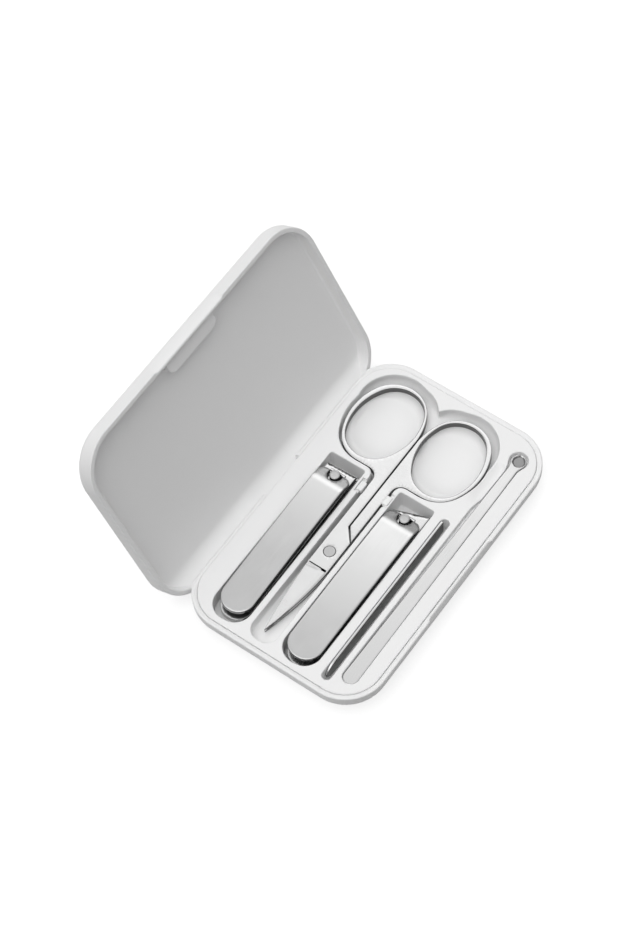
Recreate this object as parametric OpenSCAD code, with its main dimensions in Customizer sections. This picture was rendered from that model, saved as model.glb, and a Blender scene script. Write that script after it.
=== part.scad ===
// Manicure set case: a white clamshell with a moulded tray of five steel tools, lid open.
// The origin is the centre of the underside. X runs towards the rings of the scissors,
// Y towards the hinge, and Z up. Each tool lies in its own pocket of the tray.

/* [Case] */
// Length of the case; the tools' lengths follow it
case_l = 128; // [112:0.5:144]
// Height of the base, from its underside to its rim
base_h = 11; // [10.8:0.1:14]
// Radius of the case's corners, seen from above
corner_r = 16.5; // [15:0.5:19]
// Radius of the rounded lower edge of the base
edge_r = 9; // [7:0.5:10]
// Thickness of the base's underside
floor_t = 1.8; // [1.2:0.1:2]
// Thickness of the base's wall
wall_t = 2.9; // [2.5:0.1:2.9]
// Radius of the inner edge between the base's wall and its floor
cavity_r = 4; // [3.6:0.1:5]
// Half the length of the thumb notches in both front rims
notch_half = 19; // [12:0.5:24]
// How far the thumb notches are cut back at the rim
notch_d = 0.8; // [0.5:0.1:1.2]
// Height of the thumb notches
notch_h = 2.6; // [1.5:0.1:3.5]

/* [Lid] */
// Height of the lid
lid_h = 7.5; // [7:0.1:9]
// Depth of the lid's hollow, from its rim to its panel
lid_depth = 5; // [4.6:0.1:5.2]
// Thickness of the lid's wall
lid_wall = 2; // [1.6:0.1:2.2]
// Radius of the lid's outer top edge
lid_edge_r = 2.4; // [1:0.1:3]
// Radius of the cove along the hinge side of the hollow
cove_r = 7; // [5.5:0.5:10]
// Gap between the closed lid's rim and the base's rim
rim_gap = 0.1; // [0.05:0.05:0.2]
// Angle to which the lid opens
open_angle = 116; // [90:1:116]

/* [Hinge] */
// Radius of the base's rounded back edge, which is also the depth of the hinge axis
hinge_r = 3.5; // [3.4:0.1:3.7]
// Radius of the lid's hinge barrel
barrel_r = 1.9; // [1.4:0.1:2]
// Half the length of the lid's hinge barrel
barrel_half = 9.8; // [8:0.2:12]
// Radius of the hinge pin
pin_r = 0.75; // [0.5:0.05:0.9]
// Half the length of the hinge pin
pin_half = 15; // [14:0.5:18]
// Radial clearance of the hinge pin in the lid's barrel
pin_fit = 0.05; // [0.02:0.01:0.1]
// Gap between the lid's hinge arm and the slot round it
slot_gap = 0.3; // [0.2:0.05:0.4]

/* [Tray] */
// Thickness of the tray's top plate
plate_t = 1.4; // [1:0.1:1.4]
// Width of the base's rim outside the tray
rim_w = 2; // [1.6:0.1:2.2]
// Gap round the tray's edge
tray_gap = 0.15; // [0.05:0.05:0.25]
// Thickness of the pockets' walls
pocket_wall = 0.9; // [0.7:0.05:0.9]
// Thickness of the pockets' floors
pocket_floor = 1.1; // [0.8:0.1:1.2]
// Distance from the case's back to the rings' pocket
back_in = 4.9; // [4.4:0.1:7]
// Distance from the case's front to the ear pick's groove
front_in = 7.8; // [7:0.1:10]
// Distance from the case's end to the clippers' pockets
tail_in = 4.5; // [4.2:0.1:7]
// Distance from the case's end to the scissors' tip
tip_in = 9.7; // [9.6:0.1:13]
// Distance from the case's other end to the rings
ring_in = 6.95; // [6.5:0.05:8]
// Distance from the case's ends to the ear pick
pick_in = 8.5; // [7.8:0.1:10]
// Distance from the case's end to the file
file_in = 8; // [7.5:0.1:10]
// Thickness of the walls between the clippers' pockets and the rings' pocket
head_wall = 2; // [1.6:0.1:3]
// Thickness of the wall between the finger clipper and the scissors
finger_wall = 2.45; // [1.8:0.05:3.5]
// Thickness of the wall between the toe clipper and the scissors
toe_wall = 2.15; // [1.8:0.05:3]
// Thickness of the wall between the toe clipper and the file
file_wall = 3.7; // [2.4:0.1:3.9]
// Thickness of the wall between the rings' pocket and the ear pick
pick_wall = 3.2; // [2.4:0.1:4]
// Depth of the finger clipper's pocket
finger_depth = 6.4; // [6:0.1:7]
// Depth of the toe clipper's pocket
toe_depth = 7.2; // [6.8:0.1:7.4]
// How far the scissors lie below the rim
scissors_sunk = 1.3; // [0.8:0.1:2]
// Depth of the hollows under the scissors' rings
dish_d = 1.2; // [0.6:0.1:1.4]
// How far the file's edge lies below the rim
file_sunk = 0.3; // [0.1:0.1:0.6]
// How far the ear pick lies below the rim
pick_sunk = 0.8; // [0.4:0.1:1.2]
// Side clearance of the finger clipper's lever in its pocket
finger_gap = 0.95; // [0.8:0.05:1]
// Side clearance of the toe clipper's lever in its pocket
toe_gap = 0.65; // [0.5:0.05:0.7]
// Clearance round the scissors' rings
ring_gap = 0.85; // [0.6:0.05:0.95]
// Side clearance of the scissors' shanks
shank_gap = 1.15; // [0.9:0.05:1.2]
// Radius of the hollows beside the rings, for a finger
lobe_r = 14.2; // [13.4:0.1:14.3]

/* [Finger clipper] */
// Room in the pocket behind the arms' tails
finger_end_gap = 2.9; // [1:0.1:6]
// Width of the arms
finger_arm_w = 12.4; // [10:0.2:13]
// Width of the lever
finger_lever_w = 13.3; // [12.6:0.1:13.6]
// How far the lever's tail lies inside the arms' tails
finger_lever_in = 0.9; // [0:0.1:2]
// Height of the top of the lever's tail over the pocket's floor
finger_tail_h = 7.1; // [6.6:0.1:8]
// Height of the top of the lever's knee over the pocket's floor
finger_knee_h = 9.7; // [9.2:0.1:10.2]
// Height of the top of the post over the pocket's floor
finger_post_h = 8.7; // [8.4:0.1:9]
// Angle of the cutting edge
finger_slant = 5; // [0:1:8]
// Distance from the post to the cutting edge
finger_jaw_x = 4.5; // [4.2:0.1:5.5]
// Gap between the cutting edges at rest
finger_jaw_gap = 1.3; // [1:0.1:1.6]

/* [Toe clipper] */
// Room in the pocket behind the arms' tails
toe_end_gap = 1.5; // [0.8:0.1:6]
// Width of the arms
toe_arm_w = 13.2; // [11:0.2:14]
// Width of the lever
toe_lever_w = 13.8; // [13:0.1:14]
// How far the lever's tail lies inside the arms' tails
toe_lever_in = 0.7; // [0:0.1:2]
// Height of the top of the lever's tail over the pocket's floor
toe_tail_h = 7.8; // [7.2:0.1:8.2]
// Height of the top of the lever's knee over the pocket's floor
toe_knee_h = 8.5; // [8.2:0.1:9]
// Height of the top of the post over the pocket's floor
toe_post_h = 7.3; // [7.1:0.1:7.8]
// Angle of the cutting edge
toe_slant = 19; // [10:1:20]
// Distance from the post to the middle of the cutting edge
toe_jaw_x = 4.9; // [4.6:0.1:5.2]
// Gap between the cutting edges at rest
toe_jaw_gap = 0.6; // [0.5:0.1:0.8]

/* [Clipper details] */
// Distance from the square ends of the pockets to the posts
post_in = 8.4; // [7.6:0.1:9]
// Thickness of the arms
arm_t = 1.4; // [1.2:0.05:1.4]
// Thickness of the levers
lever_t = 1.6; // [1.4:0.05:1.7]
// Distance from the post back to the lever's knee
knee_x = 4.2; // [3.8:0.1:5]
// Radius of the post's neck
neck_r = 1.1; // [0.9:0.05:1.15]
// Radius of the post's head
post_head_r = 2.05; // [1.8:0.05:2.2]
// Thickness of the post's head
post_head_t = 1.1; // [0.8:0.05:1.2]
// Radius of the lever's cross bar, which hooks under the post's head
bar_r = 0.6; // [0.45:0.05:0.65]
// Width of the lever's hole round the post
hole_w = 5.4; // [4.8:0.1:6.5]
// Distance from the arms' tails to the rear rivet
rivet_in = 5.2; // [4.5:0.1:7]
// Radius of the rear rivet's shank
rivet_r = 1.2; // [0.9:0.05:1.4]

/* [Scissors] */
// Half the width across both shanks
shank_half = 4.3; // [4:0.05:4.4]
// Distance from the pivot to the shoulder where the blade begins
shoulder_x = 8.2; // [7:0.1:10]
// Thickness of each half at the pivot
half_t = 1.55; // [1.3:0.05:1.6]
// Gap between the halves
half_gap = 0.1; // [0.05:0.05:0.15]
// Thickness of the top blade
blade_t = 1.1; // [0.8:0.05:1.3]
// Distance from the pivot to the rings' centres
ring_x = 54.75; // [54:0.25:55]
// Half the outer length of a ring
ring_a = 18.1; // [17:0.1:18.2]
// Half the outer width of a ring
ring_b = 14.1; // [13.2:0.1:14.1]
// Width of a ring's band
ring_band = 1.7; // [1.4:0.1:2.2]
// Radius of the pivot screw's head
screw_head_r = 2.25; // [2:0.05:2.6]
// Radius of the pivot screw's shank
screw_r = 1.2; // [0.9:0.05:1.4]

/* [File and ear pick] */
// Room between the file's end and the square ends of the clippers' pockets
file_end_in = 1.6; // [1.5:0.1:4]
// Height of the file as it stands on its edge
file_h = 7; // [6:0.1:7.1]
// Thickness of the file
file_t = 1; // [0.6:0.1:1.4]
// Width of the file's slot
slot_w = 3.7; // [3:0.1:3.9]
// Width of the ear pick's handle
pick_w = 5.9; // [5:0.1:6]
// Width of the ear pick's neck
neck_w = 3.7; // [2.4:0.1:4]
// Thickness of the ear pick
pick_t = 1; // [0.8:0.1:1.2]
// Radius of the ear pick's spoon
spoon_r = 2.7; // [2.2:0.1:3]

/* [Magnets] */
// Length of a magnet
magnet_l = 10; // [8:0.5:12]
// Width of a magnet
magnet_w = 3; // [2.4:0.1:3.2]
// Thickness of a magnet
magnet_t = 2; // [1.2:0.1:2.2]
// Distance from the case's middle to a magnet's middle
magnet_x = 6.6; // [6.2:0.1:6.8]
// Half the length of the cover over the lid's magnets
cover_half = 13.35; // [13:0.05:15]
// Width of that cover, from the lid's front wall
cover_w = 6.4; // [5.6:0.1:7]
// How far that cover's face lies inside the lid's rim
cover_sunk = 1.5; // [1:0.1:1.8]

/* [Hidden] */
$fn = 96;

white = "whitesmoke";
steel = "silver";
bright = "gainsboro";

// A length longer than the whole case, for cuts that run right through
past = 300;
// A small overlap for cuts and joins within one piece
bite = 0.01;
// Cuts start this far outside the surface that they cut
proud = 1;

// Half the gap between the two shanks, and between the rings, along the scissors' middle line
parting_half = 0.15;
ring_y = ring_b + parting_half;
// Side clearance of the ear pick in its groove
pick_gap = 0.1;
// Widths of the pockets
rings_w = 2 * (ring_y + ring_b + ring_gap);
channel_w = 2 * (shank_half + shank_gap);
finger_w = finger_lever_w + 2 * finger_gap;
toe_w = toe_lever_w + 2 * toe_gap;
groove_w = pick_w + 2 * pick_gap;

// The case is as wide as its tools need, and the tools' middles follow from its back edge
case_w = back_in + rings_w + pick_wall + groove_w + front_in;
scissors_y = case_w / 2 - back_in - rings_w / 2;
finger_y = scissors_y + channel_w / 2 + finger_wall + finger_w / 2;
toe_y = scissors_y - channel_w / 2 - toe_wall - toe_w / 2;
file_y = toe_y - toe_w / 2 - file_wall - slot_w / 2;
pick_y = scissors_y - rings_w / 2 - pick_wall - groove_w / 2;

// Along the case, the tools' places and lengths follow from its two ends
pivot_x = case_l / 2 - ring_in - ring_a - ring_x;
blade_l = pivot_x + case_l / 2 - tip_in;
tail_x = tail_in - case_l / 2;
head_x = pivot_x + ring_x - ring_a - ring_gap - head_wall;
post_x = head_x - post_in;
finger_arm_l = post_x - tail_x - finger_end_gap;
finger_lever_l = finger_arm_l - finger_lever_in;
toe_arm_l = post_x - tail_x - toe_end_gap;
toe_lever_l = toe_arm_l - toe_lever_in;
file_tail_x = file_in - case_l / 2;
file_l = head_x - file_end_in - file_tail_x;
pick_tail_x = pick_in - case_l / 2;
pick_l = case_l - 2 * pick_in;

// The rim is the plane where the base and the closed lid meet
rim_z = base_h;
lid_z = rim_z + rim_gap;
hinge_y = case_w / 2 - hinge_r;
hinge_z = rim_z - hinge_r;
// Angle below the hinge axis where the round back edge turns into a straight bevel
bevel_at = -50;
// Thickness of the base's wall along its back edge
back_wall = 1.8;
// The plate's edge lies this far behind the hinge axis where it covers the lid's barrel
over_barrel = 0.8;
// Gap between that edge and the lid's hinge arm
arm_gap = 0.4;
// The lid's rim corner sweeps a circle of this radius about the hinge axis
sweep_r = norm([hinge_r, hinge_r + rim_gap]) + slot_gap;
slot_half = barrel_half + slot_gap;
slot_r = hinge_r + slot_gap;
// The slot is open upwards from this far in front of the axis
slot_back = 2;
// Thickness of the hinge block round the slot and beside the pin
slot_wall = 1.3;
knuckle_half = pin_half + slot_wall;
// Radius of the edge between the lid's panel and its walls
panel_edge_r = 1;
cover_corner_r = 3;
// Plastic between a magnet and the wall's inner face
magnet_in = 0.2;
magnet_y = -case_w / 2 + wall_t + magnet_in + magnet_w / 2;
magnet_top = rim_z - plate_t;

scissors_h = 2 * half_t + half_gap;
scissors_depth = scissors_h + scissors_sunk;
file_depth = file_h + file_sunk;
pick_depth = pick_t + pick_sunk;
pocket_tail_r = 6.9;
pocket_head_r = 0.8;
channel_tail_r = 5;
// Room in front of the scissors' tip
tip_gap = 5;
ring_end_r = 12.8;
// The hole of a ring is a little ahead of the ring's middle and turned towards the other ring
hole_shift = 0.4;
hole_turn = -6;
// Centres of the two arcs of a finger hollow, from its ring's centre
lobe = [7.05, 0.65];
inner_lobe = [7.45, -3.95];
lobe_step = 1.6;
inner_lobe_r = lobe_r - lobe_step;
divider_r = 3;
dish_r = 11.5;
// The rim of a recess round the ear pick's spoon
spoon_gap = 0.9;
pick_slot_end_r = 1;
// Two tabs of the tray hold the scissors' shanks at their sides
snap_in = 28.1;
snap_x = pivot_x + snap_in;
snap_l = 4;
snap_gap = 0.15;
snap_h = 2.2;
snap_sunk = 0.3;
snap_root = 0.5;
snap_recess = [6.4, 1.6, 1.2];
// The shallow scoop between the lower ring and the ear pick
scoop_l = 21;
scoop_in = 1.5;
scoop_x = pivot_x + ring_x - scoop_in;
scoop_d = 1.5;
scoop_w = 5.15;
scoop_r = (scoop_l * scoop_l / 4 + scoop_d * scoop_d) / (2 * scoop_d);

pick_neck_x = 45;
spoon_x = pick_tail_x + pick_l - spoon_r;
spoon_dish_r = 4;
spoon_dish_d = 0.6;
file_side_gap = 0.1;
// Room in the slot at the file's two ends
slot_front = 2.7;
slot_end = 1.4;

// The post's foot lies under the lower arm, on the pocket's floor
foot_h = 0.85;
foot_r = 2.3;
// The gap between stacked flat parts of a clipper
stack_gap = 0.05;
// The cross bar lies in front of the post's neck, with this gap
bar_gap = 0.1;
hook_x = neck_r + bar_gap + bar_r;
// The arms lie flat on each other for this length at the tail
arm_tail_l = 10;
arm_bend_x = -6;
arm_lip = 0.3;
// Lengths of the jaws' bevels below and above
jaw_l = 1.6;
jaw_top_l = 2.1;
// The jaw's own block starts this far behind the post's middle
jaw_rear = 3.2;
lower_z = foot_h + stack_gap;
rivet_head_r = 2;
rivet_head_t = 0.5;
rivet_bevel = 0.4;
head_bevel = 0.25;
// Radial clearances of the upper arm round the post's neck and the rivet
neck_clear = 0.4;
rivet_clear = 0.15;
// Radii of the tails' corners, as shares of the width
arm_tail_round = 0.46;
lever_tail_round = 0.48;
lever_front_r = 2;

// The blades' edges start this far inside the shanks' edges
blade_in = 0.1;
// The rings and shanks stand this far off the floor and below the crossing plate's face
shank_rise = 0.1;
shank_drop = 0.15;
// Fillet in the corner between a shank and its ring
root_r = 4;
// Gap of the slanted joint between one half's plate and the other half's shank
joint_gap = 0.3;
screw_head_t = 0.5;
screw_sunk = 0.05;
screw_fit = 0.05;

// Profiles in the YZ plane run along X, and profiles in the XZ plane run along Y
module along_x(l) rotate([90, 0, 90]) linear_extrude(l, center = true) children();
module along_y(w) rotate([90, 0, 0]) linear_extrude(w, center = true) children();

// Half of the side view of a slab whose lower edge is rounded
module slab_profile(reach, h, r) {
    difference() {
        square([reach, h]);
        translate([reach - r, -bite]) square([r + bite, r + bite]);
    }
    intersection() {
        translate([reach - r, r]) circle(r);
        square([reach, h]);
    }
}

// A slab with round corners and a rounded lower edge
module rounded_slab(l, w, corner, h, r) {
    mid_l = l - 2 * corner;
    mid_w = w - 2 * corner;
    for (sx = [-1, 1], sy = [-1, 1])
        translate([sx * mid_l / 2, sy * mid_w / 2, 0])
            rotate_extrude() slab_profile(corner, h, r);
    for (turn = [0, 180]) rotate([0, 0, turn]) {
        translate([0, mid_w / 2, 0]) along_x(mid_l) slab_profile(corner, h, r);
        translate([mid_l / 2, 0, 0]) along_y(mid_w) slab_profile(corner, h, r);
    }
    translate([-mid_l / 2, -mid_w / 2, 0]) cube([mid_l, mid_w, h]);
}

// A rectangle with round corners, centred
module plan(l, w, corner) {
    square([l - 2 * corner, w], center = true);
    square([l, w - 2 * corner], center = true);
    for (sx = [-1, 1], sy = [-1, 1])
        translate([sx * (l / 2 - corner), sy * (w / 2 - corner)]) circle(corner);
}

// A bar along X from x0 to x1, with corner radius r0 at one end and r1 at the other
module bar(x0, x1, w, r0, r1) {
    translate([x0 + r0, -w / 2]) square([x1 - r1 - x0 - r0, w]);
    for (e = [[x0, r0, 1], [x1, r1, -1]]) {
        translate([e[0] + e[2] * e[1] / 2, 0]) square([e[1] + bite, w - 2 * e[1]], center = true);
        for (s = [-1, 1]) translate([e[0] + e[2] * e[1], s * (w / 2 - e[1])]) circle(e[1]);
    }
}

// An oval of four tangent arcs: half length a, half width b, end radius r
module oval(a, b, r) {
    side_r = ((a - r) * (a - r) + b * b - r * r) / (2 * (b - r));
    band = (a - r) * side_r / (side_r - r);
    intersection() {
        square([2 * band, 2 * b], center = true);
        translate([0, side_r - b]) circle(side_r);
        translate([0, b - side_r]) circle(side_r);
    }
    for (s = [-1, 1]) translate([s * (a - r), 0]) circle(r);
}

// A strip of thickness t between two points of its middle line, with round ends
module strip(p, q, t) {
    d = q - p;
    translate(p) rotate(atan2(d[1], d[0])) {
        translate([0, -t / 2]) square([norm(d), t]);
        circle(t / 2);
        translate([norm(d), 0]) circle(t / 2);
    }
}

// What the base may fill, seen from its end. Its back edge is round about the hinge axis,
// and a bevel below it leaves room for the lid's back wall when the lid is open.
module back_profile(inset) {
    r = hinge_r - inset;
    touch = [hinge_y + r * cos(bevel_at), hinge_z + r * sin(bevel_at)];
    low_z = -5;
    low = [touch[0] - (touch[1] - low_z) * tan(-bevel_at), low_z];
    translate([hinge_y, hinge_z]) circle(r);
    polygon([[-past, low_z], low, touch, [hinge_y, hinge_z], [hinge_y, past], [-past, past]]);
}

// The base's hollow, from its floor up
module base_cavity(gap) {
    inset = wall_t + gap;
    intersection() {
        translate([0, 0, floor_t + gap])
            rounded_slab(case_l - 2 * inset, case_w - 2 * inset, corner_r - inset, base_h, cavity_r);
        along_x(past) back_profile(back_wall + gap);
    }
}

// The solid block that carries the hinge, before its slot is cut
module hinge_block()
    translate([-knuckle_half, hinge_y - slot_r - slot_wall, 0])
        cube([2 * knuckle_half, past, magnet_top]);

// The space that the lid's barrel and arm turn in
module hinge_slot()
    translate([0, hinge_y, hinge_z]) along_x(2 * slot_half) {
        circle(slot_r);
        intersection() {
            circle(sweep_r);
            translate([-slot_back, -past / 2]) square(past);
        }
    }

module at_hinge() translate([0, hinge_y, hinge_z]) rotate([0, 90, 0]) children();

// A sloped cut in a front rim: upwards in the lid, downwards in the base
module thumb_notch(up)
    translate([0, -case_w / 2, 0]) along_x(2 * notch_half)
        polygon([[-proud, up * notch_h], [0, up * notch_h], [notch_d, 0], [notch_d, -up * proud],
                 [-proud, -up * proud]]);

module each_magnet() for (s = [-1, 1]) translate([s * magnet_x, magnet_y, 0]) children();

module magnet_block(z0, z1)
    translate([-magnet_l / 2, -magnet_w / 2, z0]) cube([magnet_l, magnet_w, z1 - z0]);

module base_shell() color(white)
    difference() {
        intersection() {
            rounded_slab(case_l, case_w, corner_r, base_h, edge_r);
            along_x(past) back_profile(0);
        }
        difference() {
            base_cavity(0);
            hinge_block();
            each_magnet() magnet_block(0, magnet_top - magnet_t);
        }
        translate([0, 0, magnet_top]) linear_extrude(past)
            plan(case_l - 2 * rim_w, case_w - 2 * rim_w, corner_r - rim_w);
        hinge_slot();
        at_hinge() cylinder(2 * pin_half, r = pin_r, center = true);
        translate([0, 0, rim_z]) thumb_notch(-1);
    }

module base_magnets() color("dimgray") each_magnet() magnet_block(magnet_top - magnet_t, magnet_top);

module hinge_pin() color(steel) at_hinge() cylinder(2 * pin_half, r = pin_r, center = true);

// Outlines of the pockets, grown by g for their walls
module finger_pocket(g) translate([0, finger_y])
    bar(tail_x - g, head_x + g, finger_w + 2 * g,
        pocket_tail_r + g, pocket_head_r + g);

module toe_pocket(g) translate([0, toe_y])
    bar(tail_x - g, head_x + g, toe_w + 2 * g,
        pocket_tail_r + g, pocket_head_r + g);

module file_pocket(g) translate([0, file_y]) {
    r = slot_w / 2 + g - bite;
    bar(file_tail_x - slot_front - g, file_tail_x + file_l + slot_end + g, slot_w + 2 * g, r, r);
}

module pick_pocket(g) {
    w = groove_w + 2 * g;
    translate([0, pick_y]) bar(pick_tail_x - pick_gap - g, spoon_x, w, w / 2 - bite, pick_slot_end_r);
    translate([spoon_x, pick_y]) circle(spoon_r + spoon_gap + g);
}

module each_ring() for (s = [-1, 1]) translate([pivot_x, scissors_y]) mirror([0, (1 - s) / 2, 0])
    translate([ring_x, ring_y]) children();

// The fillet of radius r between a line along X and one along Y that goes up from the origin
module corner_fillet(r) translate([-r, 0]) difference() {
    translate([0, -bite]) square([r + bite, r]);
    translate([0, r]) circle(r);
}

module scissors_pocket(g) {
    half = channel_w / 2;
    left = pivot_x + ring_x - ring_a - ring_gap;
    translate([0, scissors_y])
        bar(pivot_x - blade_l - tip_gap - g, left + half, 2 * (half + g), channel_tail_r + g, bite);
    translate([left - g, scissors_y - ring_y]) square([ring_a + g, 2 * ring_y]);
    each_ring() {
        oval(ring_a + ring_gap + g, ring_b + ring_gap + g, ring_end_r + ring_gap + g);
        translate(lobe) circle(lobe_r + g);
        translate(inner_lobe) circle(inner_lobe_r + g);
    }
    for (s = [0, 1]) translate([left, scissors_y]) mirror([0, s, 0])
        translate([0, half]) corner_fillet(divider_r);
}

module sunk(depth, over) translate([0, 0, rim_z - depth]) linear_extrude(depth + over) children();

module pockets(g, under, over) {
    sunk(finger_depth + under, over) finger_pocket(g);
    sunk(toe_depth + under, over) toe_pocket(g);
    sunk(scissors_depth + under, over) scissors_pocket(g);
    sunk(file_depth + under, over) file_pocket(g);
    sunk(pick_depth + under, over) pick_pocket(g);
}

// The rounded hollow in the floor under each ring
module ring_dishes() {
    r = (dish_r * dish_r + dish_d * dish_d) / (2 * dish_d);
    each_ring() translate([0, 0, rim_z - scissors_depth - dish_d + r]) rotate_extrude() intersection() {
        circle(r);
        translate([0, -r]) square([dish_r, 2 * dish_d]);
    }
}

module snap_tabs() for (s = [0, 1]) translate([snap_x, scissors_y, rim_z]) mirror([0, s, 0])
    translate([-snap_l / 2, shank_half + snap_gap, -snap_h])
        cube([snap_l, shank_gap + snap_root, snap_h - snap_sunk]);

module snap_recesses() for (s = [0, 1]) translate([snap_x, scissors_y, rim_z]) mirror([0, s, 0])
    translate([-snap_recess[0] / 2, shank_half + shank_gap - bite, -snap_recess[2]])
        cube([snap_recess[0], snap_recess[1], past]);

module scoop() translate([scoop_x, pick_y + pick_w / 2, rim_z - scoop_d + scoop_r]) rotate([-90, 0, 0])
    cylinder(scoop_w, r = scoop_r);

module scoop_floor() translate([scoop_x, pick_y + (pick_w + scoop_w) / 2])
    square([scoop_l + 2 * pocket_wall, scoop_w], center = true);

module tray_insert() color(white) {
    difference() {
        union() {
            intersection() {
                translate([0, 0, magnet_top]) linear_extrude(plate_t) difference() {
                    inset = rim_w + tray_gap;
                    plan(case_l - 2 * inset, case_w - 2 * inset, corner_r - inset);
                    translate([-slot_half, hinge_y + over_barrel]) square([2 * slot_half, past]);
                }
                along_x(past) back_profile(0);
            }
            intersection() {
                union() {
                    pockets(pocket_wall, pocket_floor, 0);
                    sunk(scissors_depth + dish_d + pocket_floor, 0)
                        each_ring() circle(dish_r + pocket_wall);
                    sunk(scoop_d + pocket_floor, 0) scoop_floor();
                }
                base_cavity(tray_gap);
            }
        }
        pockets(0, 0, proud);
        ring_dishes();
        snap_recesses();
        scoop();
    }
    snap_tabs();
}

// The lid is modelled closed and then turned open about the hinge
module opened() translate([0, hinge_y, hinge_z]) rotate([-open_angle, 0, 0])
    translate([0, -hinge_y, -hinge_z]) children();

module lid_hollow() {
    inner_y = case_w / 2 - lid_wall;
    panel_z = lid_z + lid_depth;
    difference() {
        translate([0, 0, panel_z]) mirror([0, 0, 1])
            rounded_slab(case_l - 2 * lid_wall, 2 * inner_y, corner_r - lid_wall,
                         lid_depth + proud, panel_edge_r);
        along_x(past) translate([inner_y - cove_r, panel_z - cove_r]) difference() {
            square(cove_r + proud);
            circle(cove_r);
        }
    }
}

// The arm under the lid's back wall, which ends in the barrel
module hinge_arm() translate([0, hinge_y, hinge_z]) along_x(2 * barrel_half) {
    circle(barrel_r);
    intersection() {
        circle(hinge_r);
        translate([over_barrel + arm_gap, -hinge_r]) square([hinge_r, 2 * hinge_r]);
    }
    translate([hinge_r - lid_wall, 0]) square([lid_wall, hinge_r + rim_gap + bite]);
}

module lid_shell() color(white) opened() difference() {
    union() {
        difference() {
            translate([0, 0, lid_z + lid_h]) mirror([0, 0, 1])
                rounded_slab(case_l, case_w, corner_r, lid_h, lid_edge_r);
            lid_hollow();
        }
        hinge_arm();
    }
    at_hinge() cylinder(2 * (barrel_half + proud), r = pin_r + pin_fit, center = true);
    translate([0, 0, lid_z]) thumb_notch(1);
}

module lid_magnet_cover() color(white) opened() difference() {
    intersection() {
        lid_hollow();
        translate([0, -case_w / 2 + lid_wall, lid_z + cover_sunk])
            linear_extrude(lid_depth) intersection() {
                plan(2 * cover_half, 2 * cover_w, cover_corner_r);
                translate([-cover_half, 0]) square([2 * cover_half, cover_w]);
            }
    }
    each_magnet() magnet_block(lid_z + lid_depth - magnet_t, past);
}

module lid_magnets() color("dimgray") opened()
    each_magnet() magnet_block(lid_z + lid_depth - magnet_t, lid_z + lid_depth);

// The two clippers share these forms. Their origin is the middle of the post's foot.
module in_finger_pocket() translate([post_x, finger_y, rim_z - finger_depth]) children();
module in_toe_pocket() translate([post_x, toe_y, rim_z - toe_depth]) children();

// Height of the cross bar's middle, and of the upper arm's underside at the post
function hook_z(post_h) = post_h - post_head_t - stack_gap - bar_r;
function upper_z(post_h) = hook_z(post_h) - lever_t / 2 - 3 * stack_gap - arm_t;
function jaw_z(post_h) = (upper_z(post_h) + lower_z + arm_t) / 2;

module arm_cuts(l, hole_r, rivet_hole_r) {
    cylinder(past, r = hole_r, center = true);
    translate([rivet_in - l, 0, 0]) cylinder(past, r = rivet_hole_r, center = true);
}

// An arm is a strip seen from its side, cut to its outline from above. The jaw is turned by
// the slant of its edge, and is thicker than the strip by a bite on each side.
module arm(l, w, slant) intersection() {
    union() {
        along_y(w) children(0);
        rotate([0, 0, slant]) along_y(3 * w) children(1);
    }
    linear_extrude(past, center = true) bar(-l, past, w, w * arm_tail_round, bite);
}

module lower_arm(l, w, jaw_x, jaw_gap, post_h, slant) {
    top = lower_z + arm_t;
    edge = jaw_z(post_h) - jaw_gap / 2;
    x = jaw_x * cos(slant);
    difference() {
        arm(l, w, slant) {
            polygon([[-l, 0], [arm_tail_l - l, 0], [arm_bend_x, lower_z + bite], [0, lower_z + bite],
                     [0, top - bite], [arm_bend_x, top - bite], [arm_tail_l - l, arm_t], [-l, arm_t]]);
            polygon([[-jaw_rear, lower_z], [x - jaw_l / 2, lower_z], [x, edge - arm_lip], [x, edge],
                     [x - jaw_l, top], [-jaw_rear, top]]);
        }
        arm_cuts(l, neck_r + stack_gap, rivet_r);
    }
}

module upper_arm(l, w, jaw_x, jaw_gap, post_h, slant) {
    low = upper_z(post_h);
    edge = jaw_z(post_h) + jaw_gap / 2;
    x = jaw_x * cos(slant);
    rear = arm_t + stack_gap;
    difference() {
        arm(l, w, slant) {
            polygon([[-l, rear], [arm_tail_l - l, rear], [arm_bend_x, low + bite], [0, low + bite],
                     [0, low + arm_t - bite], [arm_bend_x, low + arm_t - bite],
                     [arm_tail_l - l, rear + arm_t], [-l, rear + arm_t]]);
            polygon([[-jaw_rear, low], [x - jaw_l, low], [x, edge], [x, edge + arm_lip],
                     [x - jaw_top_l, low + arm_t], [-jaw_rear, low + arm_t]]);
        }
        arm_cuts(l, neck_r + neck_clear, rivet_r + rivet_clear);
    }
}

module rear_rivet(l) translate([rivet_in - l, 0, 0]) {
    top = 2 * arm_t + 3 * stack_gap;
    cylinder(top + rivet_head_t, r = rivet_r);
    translate([0, 0, top]) cylinder(rivet_head_t, r1 = rivet_head_r, r2 = rivet_head_r - rivet_bevel);
}

module clipper_pin(post_h) {
    cylinder(foot_h, r = foot_r);
    cylinder(post_h - bite, r = neck_r);
    translate([0, 0, post_h - post_head_t]) cylinder(post_head_t - head_bevel, r = post_head_r);
    translate([0, 0, post_h - head_bevel])
        cylinder(head_bevel, r1 = post_head_r, r2 = post_head_r - head_bevel);
}

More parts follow.
